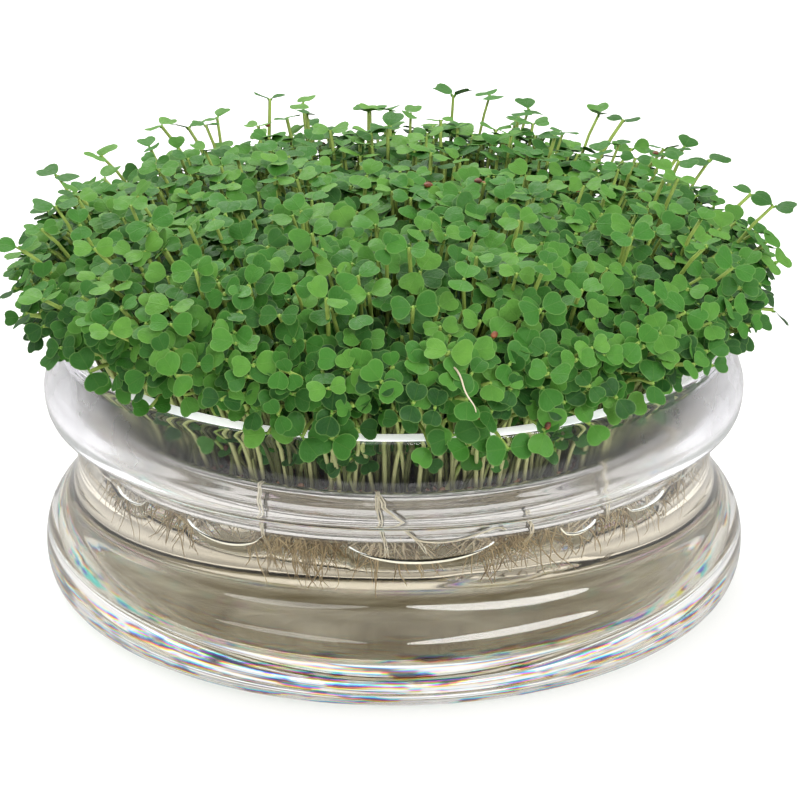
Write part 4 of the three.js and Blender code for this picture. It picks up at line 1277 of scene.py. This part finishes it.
# %% [markdown]
# Leaves run from deep to fresh green by tone and painted shade, with mottle, faint veins, a painted rim light
# that pales the edge, and a paler underside. Stems are pale at the foot and green at the head, and those in
# painted shade are dark. One material does it all, told by the attributes, because stem and leaf flow into
# each other.

# %% Finish of the seedlings
GREENS = ((0.010, 0.056, 0.008), (0.040, 0.164, 0.017), (0.112, 0.272, 0.035))
MOTTLE, VEIN = (0.029, 0.115, 0.014), (0.20, 0.34, 0.07)
PAINTED_RIM_LIGHT, UNDERSIDE = (0.17, 0.31, 0.08), (0.13, 0.23, 0.06)
STEM_FOOT, STEM_GREEN = (0.54, 0.51, 0.26), (0.28, 0.39, 0.08)
STEM_SHADED, STALK_GREEN = (0.055, 0.065, 0.02), (0.11, 0.25, 0.035)
VEIN_COUNT, VEIN_SLANT, RIB_WIDTH, VEIN_WIDTH, SIDE_VEIN = 5.0, 6.5, 0.035, 0.1, 0.55


def attribute(tree, name):
    """The value of a mesh attribute."""
    return add_node(tree, "ShaderNodeAttribute", {"attribute_name": name}).outputs["Fac"]


def vein_mask(tree):
    """A rib along the middle of the leaf's UV, and side veins where the fraction of a slanted count turns."""
    u, v, _ = parts_of(tree, add_node(tree, "ShaderNodeUVMap", {"uv_map": "surface"}).outputs[0])
    aside = maths(tree, "ABSOLUTE", maths(tree, "SUBTRACT", v, 0.5))
    rib = between(tree, aside, 0.0, RIB_WIDTH, 1.0, 0.0)
    slant = maths(tree, "SUBTRACT", product(tree, u, VEIN_COUNT), product(tree, aside, VEIN_SLANT))
    turn = maths(tree, "ABSOLUTE", maths(tree, "SUBTRACT", maths(tree, "FRACT", slant), 0.5))
    return maths(tree, "MAXIMUM", rib, between(tree, turn, 0.0, VEIN_WIDTH, SIDE_VEIN, 0.0))


def leaf_colour(tree, part, out, tone_and_shade, veins):
    """A ramp of greens by tone and painted shade, mixed by mottle, veins, a painted rim light at the edge and
    the underside in turn.
    """
    ramp = add_node(tree, "ShaderNodeValToRGB", Fac=tone_and_shade)
    stops = ramp.color_ramp.elements
    stops.new(0.5)
    for stop, green in zip(stops, GREENS):
        stop.color = (*green, 1)
    leaf = mix_colour(tree, product(tree, patches(tree, 420), 0.3), ramp.outputs[0], MOTTLE)
    leaf = mix_colour(tree, product(tree, veins, 0.08), leaf, VEIN)
    # Painted rim light: the leaf's outer edge is paler.
    leaf = mix_colour(tree, between(tree, out, 0.88, 1.0, 0.0, 0.45), leaf, PAINTED_RIM_LIGHT)
    return mix_colour(tree, product(tree, between(tree, part, 1.5, 1.9), 0.5), leaf, UNDERSIDE)


def stem_colour(tree, out, tone_and_shade):
    """Pale at the foot and green above. Some get painted shade by their tone, mostly low down. Stalks are
    green.
    """
    stem = mix_colour(tree, between(tree, out, 0.0, 0.7), STEM_FOOT, STEM_GREEN)
    some, low = between(tree, tone_and_shade, 0.3, 0.55, 0.0, 0.9), between(tree, out, 0.4, 0.8, 1.0, 0.2)
    stem = mix_colour(tree, product(tree, some, low), stem, STEM_SHADED)
    return mix_colour(tree, between(tree, out, 0.9, 1.2), stem, STALK_GREEN)


def seedling_finish():
    """Green leaves with painted rim light at their edges and veins on pale stems, told apart by the attribute
    part.
    """
    material, tree, shader = new_material("fresh_seedlings", Specular_IOR_Level=0.2)
    part, out, tone_and_shade_value = (attribute(tree, key) for key in ("part", "out", "tone_and_shade"))
    veins, fine = vein_mask(tree), patches(tree, 1500, detail=2)
    leaf, stem = leaf_colour(tree, part, out, tone_and_shade_value, veins), stem_colour(tree, out, tone_and_shade_value)
    height = maths(tree, "MULTIPLY_ADD", fine, 0.5, product(tree, veins, -0.7))
    feed(tree, shader, Base_Color=mix_colour(tree, between(tree, part, 0.4, 0.6), stem, leaf))
    feed(tree, shader, Roughness=maths(tree, "MULTIPLY_ADD", fine, 0.16, 0.44))
    feed(tree, shader, Normal=bump(tree, height, 0.35, 0.2))
    return material


seedling_material = seedling_finish()
print("seedling finish:", len(seedling_material.node_tree.nodes), "nodes")

# %% [markdown]
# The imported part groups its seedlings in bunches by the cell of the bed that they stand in. The finer ones
# are sorted by the same cells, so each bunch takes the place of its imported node.

# %% One piece for each bunch
CELL_EDGES, CELL_COUNTS = (0, 14, 28, 42, 57), (1, 6, 12, 18)


def bunch_of(foot):
    """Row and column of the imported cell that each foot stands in."""
    row = np.searchsorted(CELL_EDGES[1:-1], np.hypot(foot[:, 0], foot[:, 1]), side="right")
    turn = (np.arctan2(foot[:, 1], foot[:, 0]) / (2 * np.pi)) % 1
    return row, np.floor(turn * np.array(CELL_COUNTS)[row]).astype(int)


row, column = bunch_of(foot)
for name in [node for node in nodes if node.startswith("sprouts_")]:
    _, want_row, want_column = name.split("_")
    chosen = (row == int(want_row)) & (column == int(want_column) - 1)
    blocks, start = [], 0
    for part in parts:
        blocks.append(part.pick(chosen, start))
        start += len(blocks[-1][0])
    points, quads, fans, uv = (np.concatenate([block[i] for block in blocks]) for i in range(4))
    values = [np.concatenate([block[4][i] for block in blocks]) for i in range(3)]
    bunch = make_piece(
        name.replace("sprouts", "seedlings"),
        points,
        [quads, fans],
        seedling_material,
        uv,
        dict(zip(("part", "out", "tone_and_shade"), values)),
        (values[0] > 0.5) & (values[1] > 0.999),
    )
    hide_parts(name)

# %% [markdown]
# ## Husks
# Some seedlings still carry the split coat of their seed. A husk is a small bead: a ball that is drawn out
# along one axis and pressed in on one side. It sits where two leaf stalks part. A turned profile of few
# points is enough, as each is only a few pixels wide.

# %% Husks on the leaves
HUSK_SHARE, HUSK_SIZE, HUSK_LONG = 0.016, 0.55, 1.35
HOLLOW_DEPTH, HOLLOW_WIDTH, HOLLOW_FROM = 0.6, 0.5, 0.2
HUSK_LIFT, HUSK_STRAY = 0.6, 2.5


def husk_shells(place, upright, lengthways, size, rings=6, turns=7):
    """A ball's rings z = cos p, r = sin p, stretched along z, its hollow side drawn in by a bell."""
    polar = np.linspace(0, np.pi, rings)
    points, faces = turn_profile(np.sin(polar), -HUSK_LONG * np.cos(polar), turns)
    bell = np.exp(-((points[:, 1] / HOLLOW_WIDTH) ** 2)) * (points[:, 0] > HOLLOW_FROM)
    points[:, 0] -= HOLLOW_DEPTH * bell * points[:, 0]
    axes = np.stack([upright, np.cross(lengthways, upright), lengthways], axis=1)
    shells = place[:, None] + np.einsum("pk,nkx->npx", points, axes) * size[:, None, None]
    return shells.reshape(-1, 3), repeat_faces(faces, len(place), len(points))


def husk_finish(name, dark, pale):
    """Patches of a dark and a pale brown with a fine grain."""
    material, tree, shader = new_material(name, Specular_IOR_Level=0.4, Roughness=0.5)
    colour = mix_colour(tree, patches(tree, 400, 0.35, 0.65), dark, pale)
    feed(tree, shader, Base_Color=colour, Normal=bump(tree, patches(tree, 2500), 0.4, 0.1))
    return material


carriers = np.flatnonzero(draw(every, 41) < HUSK_SHARE)
upright, lengthways = normal[carriers], along[carriers]
place = head[carriers] + upright * HUSK_LIFT + lengthways * sway(carriers, 42, HUSK_STRAY)[:, None]
carried = husk_shells(place, upright, lengthways, HUSK_SIZE * drawn(carriers, 43, 0.8, 1.3))
red_husks = husk_finish("red_husks", (0.06, 0.018, 0.010), (0.30, 0.09, 0.03))
husks = make_piece("clinging_husks", *carried, red_husks)

# %% [markdown]
# One pale root thread lies over the front leaves. Like the creeping roots it runs through given points
# and is softened, and it takes their finish.

# %% Thread on the leaves
THREAD = np.array([(9.0, -69.0, 66.6), (10.0, -71.0, 67.2), (11.3, -72.7, 66.4), (11.8, -73.7, 64.5),
                   (12.5, -74.9, 63.0), (13.8, -75.5, 61.7), (14.0, -75.5, 60.2)])
THREAD_STEPS, THREAD_RADII = 31, (0.21, 0.1)

thread_path = soften(straight_runs(THREAD, THREAD_STEPS), 7)[None]
thread_radii = np.linspace(*THREAD_RADII, THREAD_STEPS)[None]
thread = make_piece("pale_thread", *tubes(thread_path, thread_radii, 6), pale_roots)

# %% [markdown]
# Many more husks lie on the bed, any way up, and closest at its edge, where the glass shows them. They
# are the same beads at drawn places.

# %% Husks on the bed
BED_HUSKS, LITTER_REACH, LITTER_POWER = 1100, 1, 0.3
LITTER_RISE, LITTER_SIZES = (0.2, 1.6), (0.45, 0.75)


def bed_husks():
    """Places on the bed, crowding outwards, with axes drawn at random and made square to each other."""
    radius = (BED_RADIUS + LITTER_REACH) * rng.random(BED_HUSKS) ** LITTER_POWER
    angle = rng.uniform(0, 2 * np.pi, BED_HUSKS)
    height = FELT_TOP + rng.uniform(*LITTER_RISE, BED_HUSKS)
    upright = unit(rng.normal(size=(BED_HUSKS, 3)))
    lengthways = unit(np.cross(upright, rng.normal(size=(BED_HUSKS, 3))))
    return around_axis(radius, angle, height), upright, lengthways, rng.uniform(*LITTER_SIZES, BED_HUSKS)


brown_husks = husk_finish("brown_husks", (0.07, 0.030, 0.018), (0.32, 0.14, 0.065))
litter = make_piece("husk_litter", *husk_shells(*bed_husks()), brown_husks)

# %% [markdown]
# ## Floor and light
# A plain pale floor runs out of view on all sides. It glows very faintly, so that it comes out as white as
# the photo's ground. It isn't part of the object.

# %% Floor
FLOOR_HALF, FLOOR_LEVEL = 3.0, -0.05
FLOOR_CORNERS = ((-1, -1), (1, -1), (1, 1), (-1, 1))


def floor_finish():
    """Two near whites in wide patches, with a faint glow."""
    look = dict(Roughness=0.6, Specular_IOR_Level=0.2, Emission_Strength=0.08)
    material, tree, shader = new_material("pale_floor", **look)
    colour = mix_colour(tree, patches(tree, 3, detail=2), (0.90, 0.90, 0.90), (0.93, 0.93, 0.93))
    feed(tree, shader, Base_Color=colour, Emission_Color=colour)
    return material


corners = np.array([(x * FLOOR_HALF / MM, y * FLOOR_HALF / MM, FLOOR_LEVEL) for x, y in FLOOR_CORNERS])
floor = make_piece("floor", corners, [np.array([[0, 1, 2, 3]])], floor_finish())
floor.visible_glossy = False

# %% [markdown]
# The light comes first from a pale sky. It is bright overhead and behind, and dim towards the front, so
# the front of the glass stays clear of wide reflections. Mirrors don't see the floor, so a little light
# from below, left and right, stands for it in the glass and the steel.

# %% Sky
SKY_DIM, SKY_FULL, SKY_FRONT, SKY_SIDE = 0.6, 1.18, 0.14, 0.4
# Ranges of the looking direction, whose length is 1: upwards, from front to back, sideways and downwards.
SKY_RISES, SKY_OVERHEAD, SKY_TO_BACK = (0.05, 0.6), (0.42, 0.75), (-0.9, 0.2)
SKY_BESIDE, SKY_UNDER = (0.3, 0.8), (-0.35, 0.0)


def soft_sky():
    """Strength = rise * max(behind, overhead) + beside * under, each carried smoothly over its range."""
    world = bpy.data.worlds.new("soft_sky")
    bpy.context.scene.world = world
    world.use_nodes = True
    tree = world.node_tree
    x, y, z = parts_of(tree, add_node(tree, "ShaderNodeTexCoord").outputs["Generated"])
    rise = between(tree, z, *SKY_RISES, SKY_DIM, SKY_FULL)
    behind = between(tree, y, *SKY_TO_BACK, SKY_FRONT, 1.0)
    behind = maths(tree, "MAXIMUM", behind, between(tree, z, *SKY_OVERHEAD))
    beside = between(tree, maths(tree, "ABSOLUTE", x), *SKY_BESIDE)
    under = between(tree, z, *SKY_UNDER, SKY_SIDE, 0.0)
    background = tree.nodes["Background"]
    background.inputs["Color"].default_value = (1.0, 0.99, 0.975, 1)
    feed(tree, background, Strength=maths(tree, "MULTIPLY_ADD", beside, under, product(tree, rise, behind)))


soft_sky()
print("sky:", bpy.context.scene.world.name)

# %% [markdown]
# Four oval panels add shape. A bright one at the front right and a weaker one at the front left draw the
# long highlights on the glass. A low one fills the shade under the leaves and isn't seen in mirrors. One
# behind lights the back of the cushion. Sun lamps would give hard shadows, which the photo doesn't have.

# %% Panels and light paths
# Name, place and aim in metres, width, height, power in watts, and whether mirrors show the panel.
PANELS = (
    ("panel_front", (0.65, -0.84, 0.74), (0, 0, 0.03), 1.4, 0.24, 11, True),
    ("panel_left", (-0.58, -0.84, 0.68), (0, 0, 0.03), 1.0, 0.16, 1.6, True),
    ("panel_fill", (0, -1.25, 0.2), (0, 0, 0.05), 1.2, 0.3, 2.5, False),
    ("panel_back", (-0.3, 0.7, 1.0), (0, 0, 0.05), 0.9, 0.5, 9, True),
)
BOUNCES = 24


def soft_panel(name, place, aim, width, height, power, mirrored):
    """An oval area lamp at a place, turned towards a point, and seen in mirrors or not."""
    lamp = bpy.data.lights.new(name, "AREA")
    lamp.shape = "ELLIPSE"
    lamp.size, lamp.size_y, lamp.energy = width, height, power
    panel = bpy.data.objects.new(name, lamp)
    panel.location = place
    way = np.array(aim) - np.array(place)
    level = math.hypot(way[0], way[1])
    panel.rotation_euler = (math.atan2(level, -way[2]), 0, math.atan2(way[1], way[0]) - math.pi / 2)
    panel.visible_transmission = False
    panel.visible_glossy = mirrored
    bpy.context.scene.collection.objects.link(panel)


for settings in PANELS:
    soft_panel(*settings)
bpy.context.scene.view_settings.view_transform = "Standard"
light_paths = bpy.context.scene.cycles
light_paths.max_bounces = BOUNCES
light_paths.transmission_bounces = BOUNCES
light_paths.glossy_bounces = BOUNCES
light_paths.caustics_reflective = False
light_paths.caustics_refractive = False
print("panels:", len(PANELS), "bounces:", BOUNCES)
